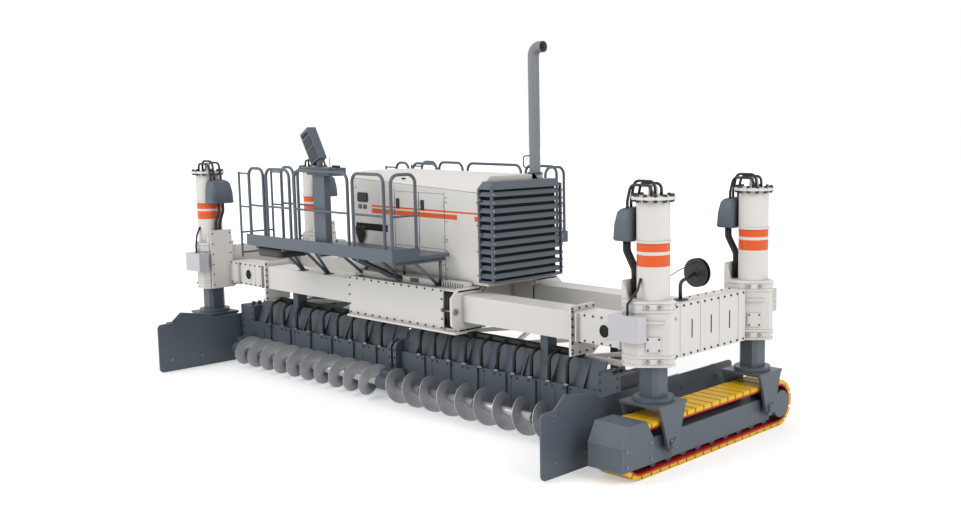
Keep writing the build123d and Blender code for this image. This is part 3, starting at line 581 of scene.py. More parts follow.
def round_auger(x, radius, angle):
    """Point at a radius and angle round the augers' axis."""
    return at(x, AUGER_Y + radius * math.cos(angle), AUGER_Z + radius * math.sin(angle))


def taper(x, y, sx, sv):
    """Middle, direction and outward direction of a clamp's tapered face on the side sv."""
    along = Vector((sx * 0.276, -sv * 0.220, 0)).normalized()
    out = Vector((sx * 0.220, sv * 0.276, 0)).normalized()
    return Vector((x + sx * 0.124, y + sv * 0.152, 0)), along, out


def clamp_outline(sx, inset):
    """Outline of a clamp: square inboard, tapering to a short outer end."""
    half = CLAMP_HALF - inset
    nose = 0.042 - inset / 2
    side = [(-half, half - 0.066), (0.066 - half, half), (-0.014, half), (half, nose)]
    return [(sx * u, v) for u, v in [(u, -v) for u, v in side] + side[::-1]]


def loop_point(place, depth):
    """Point of the track loop at a distance along its middle line, so deep under its outer face."""
    bend = LOOP_R - PAD_T
    turn = math.pi * bend
    place %= 2 * (LOOP_RUN + turn)
    reach, half = LOOP_R - depth, LOOP_RUN / 2
    sign = 1 if place < LOOP_RUN + turn else -1
    if sign < 0:
        place -= LOOP_RUN + turn
    if place < LOOP_RUN:
        return sign * (place - half), LOOP_R - sign * reach
    a = (place - LOOP_RUN) / bend - math.pi / 2
    return sign * (half + reach * math.cos(a)), LOOP_R + sign * reach * math.sin(a)


class PAVER_OT_finishes(bpy.types.Operator):
    """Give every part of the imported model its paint, rubber or steel"""
    bl_idname = "paver.finishes"
    bl_label = "Finishes"

    def execute(self, context):
        for name, thing in NODES.items():
            look = finish(finish_of(name))
            if not thing.material_slots:
                thing.data.materials.append(look)
            for slot in thing.material_slots:
                slot.material = look
        return {"FINISHED"}


class PAVER_OT_ground_forms(bpy.types.Operator):
    """Helical augers, tracks of separate pads and the side plates' raised edges"""
    bl_idname = "paver.ground_forms"
    bl_label = "Augers, tracks and side plates"

    def execute(self, context):
        for side, sx in SIDES.items():
            with Piece(f"{side}_flight", "auger_steel", "auger_steel", f"{side}_auger_body",
                       replaces=[f"{side}_auger"]) as shape:
                start, end = AUGER_X
                steps = 40
                count = steps * sizes().turns
                bar(shape, (sx * start, sx * end), AUGER_Y, AUGER_Z, SHAFT_R, 32)
                root = SHAFT_R - 0.001
                section = ((root, -0.006), (AUGER_R, -0.005), (AUGER_R, 0.005), (root, 0.006))
                rings = []
                for n in range(count + 1):
                    along = start + 0.012 + n * (end - start - 0.024) / count
                    rings.append([round_auger(sx * (along + half), r, 2 * math.pi * n / steps)
                                  for r, half in section])
                stack(shape, rings)

            with Piece(f"{side}_pads", "track_pads", "track_loop", f"{side}_undercarriage",
                       replaces=[f"{side}_track"]) as shape:
                pitch = 2 * (LOOP_RUN + math.pi * (LOOP_R - PAD_T)) / sizes().pads
                for n in range(sizes().pads):
                    # Top and bottom under the loop's face, and how much each is shorter than the pitch
                    for top, low, near, far in ((0.0, PAD_T, 0.014, 0.007),
                                                (PAD_T, PAD_T + SHOE_T, 0.002, 0.002)):
                        outer, inner = ([loop_point(n * pitch + gap + k * (pitch - 2 * gap) / 4, deep)
                                         for k in range(5)] for gap, deep in ((near, top), (far, low)))
                        profile(shape, [(LOOP_MIDDLE + y, z) for y, z in outer + inner[::-1]],
                                sx * TRACK_X - PAD_W / 2, PAD_W)

            with Piece(f"{side}_raised_edge", "grey_paint", "slate_enamel",
                       f"{side}_side_plate_body") as shape:
                profile(shape, [(-1.894, 0.7138), (-1.736, 0.852), (-1.340, 0.778), (-1.180, 0.7138)],
                        sx * PLATE_X - 0.012, 0.024)
                for y in (-1.80, -1.26):
                    block(shape, (sx * PLATE_X - 0.016, sx * PLATE_X + 0.016), (y - 0.03, y + 0.03),
                          (0.640, 0.735))
        return {"FINISHED"}


class PAVER_OT_column_forms(bpy.types.Operator):
    """Tapered clamps, moulded covers, hoses and the reel at the columns"""
    bl_idname = "paver.column_forms"
    bl_label = "Clamps, covers and hoses"

    def execute(self, context):
        with Piece("clamp_shells", "white_paint", "cream_enamel", replaces=["column_clamps"]) as shape:
            turns = [math.pi * k / 16 for k in range(32)]
            strap = [(0.1893 * math.cos(a), 0.1893 * math.sin(a)) for a in turns]
            for x, y, sx, sy in COLUMNS:
                # Four plates and, a little narrower, the body between them
                for low, high, inset in ((1.101, 1.129, 0.0), (1.193, 1.221, 0.0), (1.670, 1.698, 0.0),
                                         (1.762, 1.790, 0.0), (1.1015, 1.7895, 0.010)):
                    ring_plate(shape, x, y, clamp_outline(sx, inset), BORE_R, low, high)
                for sv in (-1, 1):
                    middle, along, out = taper(x, y, sx, sv)
                    # Two blocks with bolts and the square plate between them
                    for z, wide, tall in ((1.161, 0.095, 0.029), (1.730, 0.095, 0.029),
                                          (1.340, 0.080, 0.080)):
                        prism(shape, [(-wide, -tall), (wide, -tall), (wide, tall), (-wide, tall)],
                              middle + UP * z - out * 0.015, along, UP, out * 0.021)
                    prism(shape, [(CLAMP_HALF, 1.789), (0.263, 1.960), (0.250, 1.960), (0.195, 1.789)],
                          Vector((x, y + sv * 0.170 - 0.015, 0)), ACROSS * -sx, UP, ALONG * 0.030)
                inboard = [x - u for u in pair(sx, 0.261, 0.292)][::-1]
                block(shape, inboard, (y - MID_Y - 0.170, y - MID_Y + 0.170), (1.101, 1.980))
                ring_plate(shape, x, y, strap, TUBE_R - 0.0005, 2.384, 2.406)

        with Piece("cover_shells", "grey_paint", "slate_plastic", replaces=["column_covers"]) as shape:
            for x, y, sx, sy in COLUMNS:
                rings = []
                for z, wide, deep in ((2.385, 0.235, 0.345), (2.400, 0.250, 0.360), (2.560, 0.240, 0.345),
                                      (2.680, 0.215, 0.310), (2.715, 0.185, 0.270), (2.735, 0.130, 0.200)):
                    middle = x - sx * (BORE_R + wide / 2)
                    rings.append([Vector((middle + u, y + v, z))
                                  for u, v in soft_rect(wide / 2, deep / 2, 0.055)])
                stack(shape, rings, smooth=range(24))

        with Piece("column_lines", "black_rubber", "hose_rubber") as shape:
            for x, y, sx, sy in COLUMNS:
                for beside, rise in ((-0.105, 0.110), (-0.045, 0.150), (0.060, 0.125)):
                    crown = FLANGE_Z[1] + rise
                    tube(shape, [Vector((x + sx * u, y + beside, z)) for u, z in
                                 ((0.060, 2.855), (0.060, crown), (-0.215, crown), (-0.262, 2.80),
                                  (-0.262, 2.70))], 0.016, bend=0.075)
                for beside in (-0.045, 0.020):
                    tube(shape, [Vector((x - sx * u, y + beside, z)) for u, z in
                                 ((0.350, 2.42), (0.350, 2.27), (0.235, 2.08), (0.225, 1.785))],
                         0.022, bend=0.10)
                tube(shape, [Vector((x - sx * u, y + sy * v, z)) for u, v, z in
                             ((0.10, 0.300, 1.640), (0.10, 0.300, 1.760), (0.02, 0.235, 1.900),
                              (0.02, 0.181, 2.02))], 0.014, bend=0.06)

        with Piece("hose_reel", "dark_plastic", "black_plastic") as shape:
            x = 4.300
            foot, hub = at(x, -0.383, 1.699), at(x, -0.083, 1.969)
            block(shape, (x - 0.06, x + 0.06), (-0.45, -0.32), (1.6985, 1.716))
            tube(shape, [foot, foot + UP * 0.20, hub - ALONG * 0.02], 0.020, bend=0.06)
            for near, far, radius, sides in ((-0.034, -0.024, 0.160, 40), (0.024, 0.034, 0.160, 40),
                                             (-0.030, 0.030, 0.120, 32), (-0.050, 0.050, 0.045, 24)):
                rod(shape, hub + ALONG * near, hub + ALONG * far, radius, sides=sides)
            tube(shape, [hub + Vector((0, -0.02, 0.120)), at(x, -0.40, 2.03), at(x, -0.76, 1.93)],
                 0.005, bend=0.2)
        return {"FINISHED"}


class PAVER_OT_frame_forms(bpy.types.Operator):
    """Housings with an eight-sided collar, painted shade in the openings, dark seams, bracket rims and
    walkway struts
    """
    bl_idname = "paver.frame_forms"
    bl_label = "Housings and brackets"

    def execute(self, context):
        with Piece("housing_shells", "white_paint", "cream_enamel",
                   replaces=["front_housing", "rear_housing"]) as shape:
            for sy in (-1, 1):
                wide = pair(sy, HOUSING_Y - 0.0199, HOUSING_IN)
                blocks(shape,
                       ((-0.965, 0.965), pair(sy, HOUSING_Y, HOUSING_Y - 0.020), (1.048, 1.554)),
                       ((-0.9645, 1.230), wide, (1.534, 1.5535)),
                       ((-0.9645, 1.230), wide, (1.0485, 1.068)),
                       ((-0.964, 1.230), pair(sy, HOUSING_IN - 0.001, HOUSING_IN + 0.020), (1.049, 1.553)),
                       ((-0.9638, -0.925), wide, (1.0495, 1.5525)),
                       ((-0.925, 1.260), pair(sy, 0.945, 0.755), (1.022, 1.0485)))
                u, v, cut = 0.27165, 0.279, 0.110
                prism(shape, [(u, cut - v), (u, v - cut), (u - cut, v), (cut - u, v), (-u, v - cut),
                              (-u, cut - v), (cut - u, -v), (u - cut, -v)],
                      at(1.190, sy * 0.68835, 1.301), ALONG, UP, ACROSS * 0.040)

        # Near-black: dark seams round the hood roof and doors, and painted shade in the slot on the hood's
        # side, the slots in the end frames and the brackets' holes
        with Piece("frame_openings", "dark_plastic", "void") as shape:
            for sy in (-1, 1):
                prism(shape, [(-1.235, 2.845), (1.325, 2.7395), (1.325, 2.7435), (-1.235, 2.849)],
                      at(0, sy * 0.5740, 0), ACROSS, UP, ALONG * sy * 0.0016)
                for x in (0.675, -0.321):
                    block(shape, (x - 0.002, x + 0.002), pair(sy, 0.574, 0.5756), (1.645, 1.996))
                block(shape, (-0.319, 0.673), pair(sy, 0.574, 0.5754), (1.9955, 2.0))
            block(shape, (-1.165, -0.480), (-0.5765, -0.574), (2.149, 2.242))
            for sx in (-1, 1):
                for y in (-0.35, 0.0, 0.35):
                    block(shape, pair(sx, 4.433, 4.4358), (y - 0.010, y + 0.010), (1.300, 1.505))
                for sy in (-1, 1):
                    bar(shape, sx * HOLE_X, (sy * 0.785, sy * 0.7985), HOLE_Z, 0.072, 32)

        with Piece("bracket_rims", "white_paint", "cream_enamel") as shape:
            for sx, sy in CORNERS:
                bar(shape, sx * HOLE_X, (sy * 0.780, sy * 0.798), HOLE_Z, 0.092, 32)
                for x in (3.16, 3.80):
                    block(shape, pair(sx, x, x + 0.016), pair(sy, BEAM_Y, 0.835), (1.165, 1.496))

        with Piece("brace_struts", "grey_paint", "slate_enamel", replaces=["walkway_brackets"]) as shape:
            under = 1.9297
            for sy in (-1, 1):
                for x in (-2.25, -1.65, -0.80, 0.0, 0.72):
                    foot, near = (1.554, 0.645) if x > -1.0 else (1.496, 0.965)
                    blocks(shape, ((x - 0.030, x + 0.030), pair(sy, near, 1.42), (under - 0.055, under)),
                           ((x - 0.045, x + 0.045), pair(sy, 0.66, 0.78), (foot, foot + 0.014)))
                    for low, high in ((0.72, 1.12), (0.70, max(near, 0.70))):
                        tube(shape, [at(x, sy * low, foot), at(x, sy * high, under - 0.03)], 0.020)
        return {"FINISHED"}


class PAVER_OT_hood_forms(bpy.types.Operator):
    """Hood with sloping sides, grille of slats, console screens, tank and the exhaust's foot"""
    bl_idname = "paver.hood_forms"
    bl_label = "Hood, grille and console"

    def execute(self, context):
        with Piece("hood_shell", "white_paint", "cream_enamel", replaces=["hood_roof"]) as shape:
            stack(shape, [[at(x, y, z) for y, z in
                           ((-HOOD_Y, 2.7403), (-HOOD_Y, seam), (-0.385, 2.940), (0.385, 2.940),
                            (HOOD_Y, seam), (HOOD_Y, 2.7403))]
                          for x, seam in ((-1.235, 2.848), (1.325, 2.7425))])
            block(shape, (1.180, 1.325), (0.338, 0.538), (2.770, 2.940))
            for sy in (-1, 1):
                for z in ((2.704, 2.7398), (1.6403, 1.996)):
                    block(shape, (-0.319, 0.673), pair(sy, HOOD_Y, 0.545), z)

        start, end = 1.3253, 1.590
        wide = (-0.600, 0.600)

        # Painted shade: a near-black block behind the slats stands for the shade inside the grille
        with Piece("grille_core", "dark_plastic", "void") as shape:
            block(shape, (start, 1.528), (-0.538, 0.538), (1.640, 2.790))

        with Piece("grille_slats", "grey_paint", "slate_enamel", replaces=["hood_grille"]) as shape:
            blocks(shape, ((start, 1.3563), wide, (1.640, 2.790)), ((start, end), wide, (1.640, 1.668)))
            for n in range(sizes().slats):
                z = 1.700 + n * 1.005 / (sizes().slats - 1)
                frustum(shape, (start, end), wide, (z, z + 0.056), 0.030)
            frustum(shape, (start, end), wide, (2.790, 2.885), 0.050)

        with Piece("console_controls", "dark_plastic", "black_plastic") as shape:
            lean = math.radians(30.5)
            u, v = Vector((math.cos(lean), 0, math.sin(lean))), Vector((-math.sin(lean), 0, math.cos(lean)))
            panel = at(-0.904, -1.4345, 3.293)
            for low, high in ((-0.200, -0.030), (-0.005, 0.115)):
                prism(shape, [(-0.078, low), (0.078, low), (0.078, high), (-0.078, high)], panel, u, v,
                      ALONG * -0.006)
            for n in range(4):
                middle = panel + u * (-0.057 + 0.038 * n) + v * 0.165
                rod(shape, middle, middle - ALONG * 0.022, 0.012)
                bar(shape, -0.50 + 0.045 * n, -1.375, (3.032, 3.062), 0.014)
            bar(shape, -0.43, (-1.459, -1.478), 2.983, 0.042, 28)
            bar(shape, -0.56, -1.375, (3.032, 3.150), 0.006)

        with Piece("pipe_foot", "grey_paint", "slate_enamel") as shape:
            tube(shape, [at(*p) for p in ((1.225, 0.392, 3.02), (1.165, 0.345, 3.02), (1.165, 0.345, 3.17),
                                          (1.225, 0.392, 3.17))], 0.010, bend=0.03)
            bar(shape, 1.28, 0.438, (2.9405, 2.962), 0.098, 32)

        with Piece("tank", "dark_plastic", "black_plastic") as shape:
            stack(shape, [[at(-1.95 + u, -1.225 + v, z) for u, v in soft_rect(half, half_v, 0.05)]
                          for z, half, half_v in ((1.785, 0.265, 0.200), (1.800, 0.280, 0.215),
                                                  (1.9297, 0.280, 0.215))], smooth=range(24))
        return {"FINISHED"}


class PAVER_OT_mold_forms(bpy.types.Operator):
    """Curved hoses, hopper sheets, end boxes, centre plates and the lattice over the mold"""
    bl_idname = "paver.mold_forms"
    bl_label = "Mold hoses and sheets"

    def execute(self, context):
        with Piece("hose_set", "black_rubber", "hose_rubber", replaces=["vibrator_hoses"]) as shape:
            bar(shape, (-3.05, 3.05), -0.585, 0.975, 0.040, 20)
            for x in HOSE_PLACES:
                tube(shape, [at(x, y, z) for y, z in ((-0.798, 0.6403), (-0.798, 0.935), (-0.640, 0.985),
                                                      (-0.60, 0.975))], 0.022, bend=0.09)

        with Piece("mold_sheets", "mold_paint", "mold_enamel") as shape:
            ribs = 7
            for start, end in ((-3.46, -0.03), (0.03, 3.46)):
                profile(shape, [(-0.745, 0.6195), (-0.631, 0.936), (-0.616, 0.936), (-0.730, 0.6195)],
                        start, end - start)
                for n in range(ribs):
                    x = start + (n + 0.5) * (end - start) / ribs
                    profile(shape, [(-0.790, 0.6195), (-0.634, 0.930), (-0.560, 0.6195)], x - 0.008, 0.016)
            for sx in (-1, 1):
                block(shape, pair(sx, 3.46, 3.806), (WALL_Y, WALL_Y + 0.300), (0.6395, 0.860))
                for y in (-0.700, -0.600):
                    bar(shape, sx * 3.63, y, (0.859, 0.905), 0.028)
            for x in CENTRE_PLATES:
                profile(shape, [(WALL_Y + y, z) for y, z in
                                ((-0.08, 0.4203), (-0.08, 0.70), (-0.04, 0.755), (0.06, 0.79), (0.06, 0.64),
                                 (0.0, 0.64), (0.0, 0.4203))], x - 0.03, 0.06)
            for n in range(-6, 7):
                if n:
                    block(shape, (n * 0.5 - 0.008, n * 0.5 + 0.008), (-0.830, -0.804), (0.10, 0.632))

        with Piece("mold_lattice", "white_paint", "cream_enamel") as shape:
            bay, bays = 0.6, 12
            for sy in (-1, 1):
                block(shape, (-3.6, 3.6), pair(sy, 0.44, 0.5395), (0.89, 0.94))
            for n in range(bays):
                x, turn = (n - bays / 2) * bay, 1 if n % 2 else -1
                a, b = at(x, -0.46 * turn, 0.915), at(x + bay, 0.46 * turn, 0.915)
                prism(shape, [(-0.021, -0.024), (0.021, -0.024), (0.021, 0.024), (-0.021, 0.024)], a,
                      (b - a).normalized().cross(UP), UP, b - a)
        return {"FINISHED"}


class PAVER_OT_flange_bolts(bpy.types.Operator):
    """Ring of bolts on each column's top flange"""
    bl_idname = "paver.flange_bolts"
    bl_label = "Column flange bolts"

    def execute(self, context):
        points = []
        count = sizes().flange_bolts
        for x, y, sx, sy in COLUMNS:
            for n in range(count):
                a = 2 * math.pi * (n + 0.5) / count
                u, v = x + FLANGE_BOLT_R * math.cos(a), y + FLANGE_BOLT_R * math.sin(a)
                points += [((u, v, FLANGE_Z[1]), (0, 0, 1)), ((u, v, FLANGE_Z[0]), (0, 0, -1))]
        bolts("flange_bolts", points, sizes().flange_bolt, look="dark_steel")
        return {"FINISHED"}


class PAVER_OT_clamp_fixings(bpy.types.Operator):
    """Bolts, cover screws and handles on the clamps round the columns"""
    bl_idname = "paver.clamp_fixings"
    bl_label = "Clamp fixings"

    def execute(self, context):
        large, small, handles = [], [], []
        for x, y, sx, sy in COLUMNS:
            for sv in (-1, 1):
                middle, along, out = taper(x, y, sx, sv)
                face = middle + out * 0.006
                for s in (-0.062, 0.062):
                    large += [(face + along * s + UP * z, out) for z in (1.161, 1.730)]
                    small += [(face + along * s * 0.94 + UP * z, out) for z in (1.282, 1.398)]
                low = middle - out * 0.009
                handles.append([low + along * s + out * d + UP * (1.575 + rise) for s, d, rise in
                                ((-0.105, 0.0, -0.01), (-0.105, 0.045, 0.0), (0.105, 0.045, 0.0),
                                 (0.105, 0.0, -0.01))])
            small += grid(x - sx * 0.2923, (sy * COLUMN_Y - 0.14, sy * COLUMN_Y + 0.14),
                          spread(1.16, 1.93, 6), (-sx, 0, 0))
        bolts("clamp_bolts", large, 0.036)
        bolts("clamp_screws", small, 0.016, look="dark_steel")

        with Piece("clamp_handles", "white_paint", "cream_enamel") as shape:
            for points in handles:
                tube(shape, points, 0.010, bend=0.02)
        return {"FINISHED"}


class PAVER_OT_frame_fixings(bpy.types.Operator):
    """Bolt rows on the housings, end frames and brackets, with the pieces inside the housings' openings"""
    bl_idname = "paver.frame_fixings"
    bl_label = "Frame fixings"

    def execute(self, context):
        dots = []
        for sy in (-1, 1):
            out = (0, sy, 0)
            face = sy * (HOUSING_Y + 0.0003)
            dots += grid(spread(-0.93, 0.93, 13), face, (1.532, 1.070), out)
            dots += grid((-0.945, 0.94), face, spread(1.18, 1.43, 3), out)
            for sx in (-1, 1):
                flange, flank = sx * 3.0966, sy * 0.812
                dots += grid(flange, spread(sy * 0.81, sy * 0.46, 4), (1.53, 1.13, 1.02), (sx, 0, 0))
                dots += grid(flange, flank, spread(1.06, 1.50, 6), (sx, 0, 0))
                dots += grid(sx * 3.06, flank, spread(1.02, 1.53, 7), (-sx, 0, 0))
                dots += grid(spread(sx * 3.14, sx * 4.03, 8), sy * (BEAM_Y + 0.0003), (1.475, 1.185), out)
        for sx in (-1, 1):
            dots += grid(sx * 4.4353, spread(-0.62, 0.62, 11), (1.672, 1.138), (sx, 0, 0))
            dots += grid(sx * 4.25, spread(-0.60, 0.60, 9), 1.7003, UP)
        bolts("frame_screws", dots, 0.020, look="dark_steel")

        with Piece("housing_hoses", "black_rubber", "hose_rubber") as shape:
            for sy in (-1, 1):
                for x in (1.00, 1.045, 1.09, 1.135):
                    bar(shape, x, sy * 0.825, (1.075, 1.53), 0.020)

        with Piece("housing_pins", "cast_iron", "zinc") as shape:
            for sy in (-1, 1):
                for start, end, radius, sides in ((0.985, 1.245, 0.012, 16), (1.225, 1.245, 0.040, 24),
                                                  (0.975, 1.0, 0.022, 16)):
                    bar(shape, (start, end), sy * 0.905, 1.301, radius, sides)

        with Piece("frame_seams", "dark_plastic", "void") as shape:
            for sx in (-1, 1):
                for y in (-0.56, -0.20, 0.15, 0.52):
                    block(shape, pair(sx, 4.4340, 4.4357), (y - 0.002, y + 0.002), (1.12, 1.69))
            for sy in (-1, 1):
                block(shape, (-3.40, -3.396), pair(sy, 0.789, 0.7907), (1.17, 1.49))
        return {"FINISHED"}


class PAVER_OT_hood_fittings(bpy.types.Operator):
    """Display, switch boxes, cables, handles and screws on the hood, and the grille's posts"""
    bl_idname = "paver.hood_fittings"
    bl_label = "Hood fittings"

    def execute(self, context):
        with Piece("hood_black", "dark_plastic", "black_plastic") as shape:
            block(shape, (-1.109, -0.886), (-0.592, -0.5745), (2.530, 2.655), soften=0.012)
            block(shape, (-0.225, -0.150), (-0.535, -0.500), (2.862, 2.878), soften=0.006)
            for x in (-0.10, 0.22):
                block(shape, (x, x + 0.17), (-0.7825, -0.775), (1.572, 1.626))

        with Piece("grille_posts", "grey_paint", "slate_enamel") as shape:
            for x in (-1.100, -0.995):
                block(shape, (x, x + 0.075), (-0.583, -0.5745), (2.435, 2.493), soften=0.006)
            for y in (-0.604, 0.578):
                block(shape, (1.553, 1.598), (y, y + 0.026), (1.655, 2.83), soften=0.006)

        with Piece("hood_cables", "black_rubber", "hose_rubber") as shape:
            for n, x in enumerate((-1.13, -1.10, -1.06, -1.02, -0.99, -0.95)):
                tube(shape, [at(x, -0.53, 2.20), at(x, -0.606, 2.20), at(x + 0.01, -0.606, 2.10),
                             at(-1.06 + 0.006 * n, -0.606, 1.98), at(-1.05 + 0.008 * n, -0.606, 1.70)],
                     0.011, bend=0.05, sides=8)
            for n in range(3):
                tube(shape, [at(x + 0.07 * n, y, z) for x, y, z in
                             ((-0.95, -0.95, 1.90), (-0.80, -0.90, 1.80), (-0.15, -0.83, 1.62),
                              (-0.05, -0.72, 1.60))], 0.022, bend=0.10)

        with Piece("base_strip", "white_paint", "cream_enamel") as shape:
            block(shape, (-0.95, 0.70), (-0.78, -0.60), (1.5545, 1.638), soften=0.004)
            block(shape, (0.78, 1.20), (-0.74, -0.60), (1.5545, 1.630), soften=0.004)

        dots = []
        for sy in (-1, 1):
            for x, heights in ((0.715, (1.75, 1.98, 2.10, 2.13, 2.36, 2.60, 2.66)),
                               (0.640, (1.80, 1.90)), (1.285, (1.72, 2.02, 2.34, 2.62)),
                               (-0.36, (1.75, 2.10, 2.40, 2.72)), (-1.15, (1.75, 2.05, 2.34, 2.72))):
                dots += grid(x, sy * (HOOD_Y + 0.0003), heights, (0, sy, 0))
        dots += grid(spread(0.82, 1.18, 9), -0.7403, spread(1.575, 1.615, 3), -ALONG)
        bolts("hood_screws", dots, 0.013, look="dark_steel")
        studs = grid(1.598, (-0.591, 0.591), spread(1.735, 2.735, 11), ACROSS)
        for sy in (-1, 1):
            studs += grid(1.375, sy * 0.6003, (1.80, 2.24, 2.66), (0, sy, 0))
        bolts("grille_bolts", studs, 0.024)
        return {"FINISHED"}


class PAVER_OT_mold_fittings(bpy.types.Operator):
    """Hose clamps, plate joints and bolts on the mold, and couplings on the augers"""
    bl_idname = "paver.mold_fittings"
    bl_label = "Mold fittings"

    def execute(self, context):
        with Piece("hose_clamps", "auger_steel", "zinc") as shape:
            for x in HOSE_PLACES:
                block(shape, (x - 0.034, x + 0.034), (-0.832, -0.772), (0.641, 0.662), soften=0.004)

        with Piece("mold_seams", "mold_paint", "void") as shape:
            for x in (-3.20, -2.40, -1.60, -0.80, 0.634, 1.607, 2.090, 2.566, 2.808):
                block(shape, (x - 0.003, x + 0.003), (-0.8062, -0.804), (0.10, 0.632))

        face = WALL_Y - 0.0003
        dots = grid([x + d for x in HOSE_PLACES for d in (-0.05, 0.05)], face, 0.60, -ALONG)
        dots += grid((-3.76, 3.76), face, spread(0.12, 0.83, 8), -ALONG)
        dots += grid((-3.50, 3.50), face, spread(0.66, 0.84, 3), -ALONG)
        dots += grid(CENTRE_PLATES, -0.8856, spread(0.46, 0.66, 3), -ALONG)
        bolts("mold_screws", dots, 0.020, look="dark_steel")

        for side, sx in SIDES.items():
            body = f"{side}_auger_body"

            with Piece(f"{side}_couplings", "auger_steel", "dark_steel", body) as shape:
                for x in COUPLINGS:
                    bar(shape, (sx * (x - 0.035), sx * (x + 0.035)), AUGER_Y, AUGER_Z, COUPLING_R, 24)

            heads = [(round_auger(sx * x, COUPLING_R, a), (0, math.cos(a), math.sin(a)))
                     for x in COUPLINGS for a in (math.pi * k / 3 for k in range(6))]
            bolts(f"{side}_coupling_bolts", heads, 0.022, body=body)
            heads = []
            for out in (-1, 1):
                for y, z in (((-1.90, -1.45), (0.18, 0.60)), ((-0.60, 0.20, 0.90), 0.56)):
                    heads += grid(sx * PLATE_X + out * 0.0122, y, z, (out, 0, 0))
            bolts(f"{side}_plate_bolts", heads, 0.026, body=f"{side}_side_plate_body")
        return {"FINISHED"}


def tread(shape, sx):
    """Raised bars of tread plate, each turned against its neighbours, on a guard's three front walls."""
    step = 0.026
    for (y0, z0), (y1, z1) in (((-1.690, 0.15), (-1.690, 0.395)), ((-1.689, 0.405), (-1.582, 0.597)),
                               ((-1.575, 0.600), (-1.305, 0.600))):
        low, high = at(sx * TRACK_X, y0, z0), at(sx * TRACK_X, y1, z1)
        up = (high - low).normalized()
        out = ACROSS.cross(up) * -1
        out = out if out.y - out.z < 0 else -out
        rows = int((high - low).length / step)
        for j in range(rows):
            for k in range(-8, 9):
                turn = ACROSS if (j + k) % 2 else -ACROSS
                middle = low + up * (j + 0.5) * ((high - low).length / rows) + ACROSS * (k * step)
                long, wide = (turn + up).normalized() * 0.013, (turn - up).normalized() * 0.004
                tip = shape.verts.new(middle + out * 0.0025)
                ring = [shape.verts.new(middle + d) for d in (long, wide, -long, -wide)]
                for n in range(4):
                    shape.faces.new((ring[n], ring[(n + 1) % 4], tip))
                shape.faces.new(ring)


class PAVER_OT_track_fittings(bpy.types.Operator):
    """Tread plate on the guards, keeper plates and bolts at the yokes' pivots"""
    bl_idname = "paver.track_fittings"
    bl_label = "Track fittings"

    def execute(self, context):
        for side, sx in SIDES.items():
            body = f"{side}_undercarriage"
            with Piece(f"{side}_tread", "grey_paint", "slate_enamel", body) as shape:
                tread(shape, sx)
            corner = 0.082 * math.sqrt(0.5)

            with Piece(f"{side}_keepers", "grey_paint", "slate_enamel", body) as shape:
                for face, sy in CORNERS:
                    prism(shape, [(corner, corner), (-corner, corner), (-corner, -corner), (corner, -corner)],
                          at(sx * TRACK_X + face * 0.2723, sy * COLUMN_Y, PIVOT_Z), ALONG, UP,
                          ACROSS * face * 0.010)

            pivots, dots = [], []
            for face in (-1, 1):
                out = (face, 0, 0)
                places = [sy * COLUMN_Y + d for sy in (-1, 1) for d in (-0.045, 0.045)]
                pivots += grid(sx * TRACK_X + face * 0.2825, places, (PIVOT_Z - 0.045, PIVOT_Z + 0.045), out)
                dots += grid(sx * TRACK_X + face * 0.2287, (-1.62, -1.24), (0.36, 0.20), out)
            bolts(f"{side}_pivot_bolts", pivots, 0.018, 0.008, body=body)
            bolts(f"{side}_guard_bolts", dots, 0.024, body=body)
        return {"FINISHED"}


def seen_rays(tree):
    """1 for the rays that show or mirror the surroundings themselves."""
    path = add(tree, "ShaderNodeLightPath")
    seen = calc(tree, "MAXIMUM", path.outputs["Is Camera Ray"], path.outputs["Is Glossy Ray"])
    return calc(tree, "MAXIMUM", seen, path.outputs["Is Transmission Ray"])


def stand(name, data, place, look):
    """A lamp or camera at a place, looking one way."""
    holder = bpy.data.objects.new(name, data)
    holder.location = place
    holder.rotation_euler = look.to_track_quat("-Z", "Y").to_euler()
    bpy.context.scene.collection.objects.link(holder)
    return holder


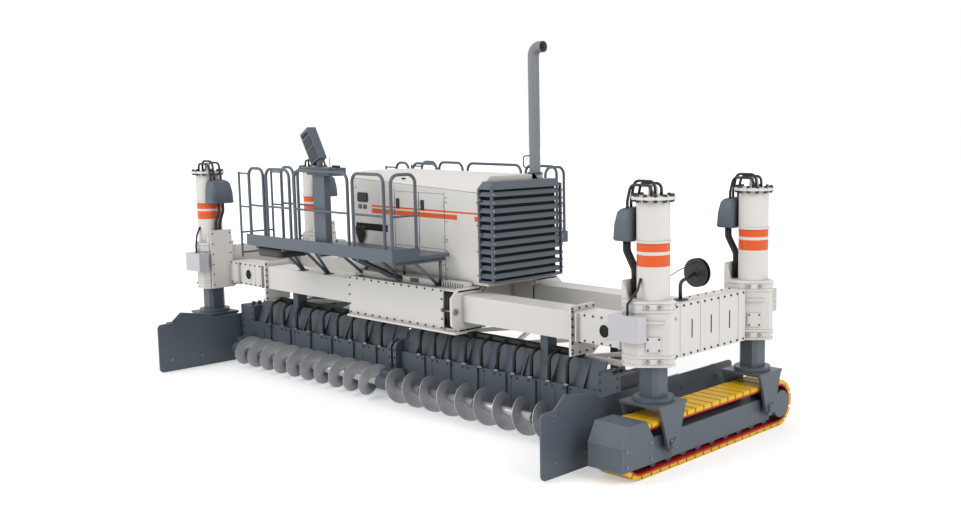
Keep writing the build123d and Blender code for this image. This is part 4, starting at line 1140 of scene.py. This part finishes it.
class PAVER_OT_stage(bpy.types.Operator):
    """Pale floor, soft lamps and the camera"""
    bl_idname = "paver.stage"
    bl_label = "Stage"

    def execute(self, context):
        scene = context.scene
        studio = scene.paver_studio
        half = 90.0
        ground = bpy.data.meshes.new("floor")
        ground.from_pydata([(-half, -half, 0), (half, -half, 0), (half, half, 0), (-half, half, 0)], [],
                           [(0, 1, 2, 3)])
        floor = bpy.data.objects.new("floor", ground)
        scene.collection.objects.link(floor)

        # The floor glows more with distance, so that it runs into the white surroundings
        material, tree, shader, end = new_material("pale_floor", Roughness=0.85)
        shader.inputs["Base Color"].default_value = (0.88, 0.88, 0.88, 1)
        place = add(tree, "ShaderNodeTexCoord").outputs["Object"]
        far = add(tree, "ShaderNodeVectorMath", {0: place}, operation="LENGTH").outputs["Value"]
        more = add(tree, "ShaderNodeMapRange", {"Value": far, "From Min": 5.0, "From Max": 18.0,
                                                "To Min": 0.36, "To Max": 0.80}).outputs[0]
        glow = add(tree, "ShaderNodeEmission", {"Color": (1, 1, 1, 1),
                                                "Strength": both(tree, seen_rays(tree), more)})
        mixed = add(tree, "ShaderNodeAddShader", {0: shader.outputs[0], 1: glow.outputs[0]})
        tree.links.new(mixed.outputs[0], end.inputs[0])
        ground.materials.append(material)

        world = bpy.data.worlds.new("studio")
        world.use_nodes = True
        tree = world.node_tree
        tree.nodes.clear()
        even, white = (add(tree, "ShaderNodeBackground", {"Color": (1, 1, 1, 1), "Strength": strength})
                       for strength in (studio.sky, 1.0))
        mixed = add(tree, "ShaderNodeMixShader", {0: seen_rays(tree), 1: even.outputs[0],
                                                  2: white.outputs[0]})
        add(tree, "ShaderNodeOutputWorld", {0: mixed.outputs[0]})
        scene.world = world

        for name, power, size, place, target in (
                ("key_lamp", studio.key, 9.0, (-4.0, -12.0, 11.0), (0.0, 0.0, 1.0)),
                ("side_lamp", studio.side, 6.0, (13.0, -1.0, 8.0), (3.0, 0.0, 1.0))):
            lamp = bpy.data.lights.new(name, "AREA")
            lamp.energy, lamp.size = power, size
            stand(name, lamp, place, Vector(target) - Vector(place))

        camera = bpy.data.cameras.new("camera")
        camera.lens, camera.sensor_width, camera.shift_x, camera.clip_end = studio.lens, 36.0, -0.1916, 300.0
        turn, dip = math.radians(38.64), math.radians(7.43)
        look = Vector((-math.sin(turn) * math.cos(dip), math.cos(turn) * math.cos(dip), -math.sin(dip)))
        scene.camera = stand("camera", camera, (11.513, -9.368, 3.644), look)
        scene.view_settings.view_transform = "Standard"
        return {"FINISHED"}


OPERATORS = (PAVER_OT_finishes, PAVER_OT_ground_forms, PAVER_OT_column_forms, PAVER_OT_frame_forms,
             PAVER_OT_hood_forms, PAVER_OT_mold_forms, PAVER_OT_flange_bolts, PAVER_OT_clamp_fixings,
             PAVER_OT_frame_fixings, PAVER_OT_hood_fittings, PAVER_OT_mold_fittings,
             PAVER_OT_track_fittings, PAVER_OT_stage)
GROUPS = {"paver_paint": PaverPaint, "paver_sizes": PaverSizes, "paver_studio": PaverStudio}


class PAVER_PT_panel(bpy.types.Panel):
    """Lists the paver's settings and steps in the sidebar"""
    bl_label = "Slipform paver"
    bl_idname = "PAVER_PT_panel"
    bl_space_type = "VIEW_3D"
    bl_region_type = "UI"
    bl_category = "Paver"

    def draw(self, context):
        for name, group in GROUPS.items():
            for key in group.__annotations__:
                self.layout.prop(getattr(context.scene, name), key)
        for operator in OPERATORS:
            self.layout.operator(operator.bl_idname)


CLASSES = (*GROUPS.values(), *OPERATORS, PAVER_PT_panel)


def register():
    for cls in CLASSES:
        bpy.utils.register_class(cls)
    for name, group in GROUPS.items():
        setattr(bpy.types.Scene, name, PointerProperty(type=group))


def unregister():
    for name in GROUPS:
        delattr(bpy.types.Scene, name)
    for cls in reversed(CLASSES):
        bpy.utils.unregister_class(cls)


def main():
    register()
    for operator in OPERATORS:
        group, name = operator.bl_idname.split(".")
        getattr(getattr(bpy.ops, group), name)()


if __name__ == "__main__":
    main()
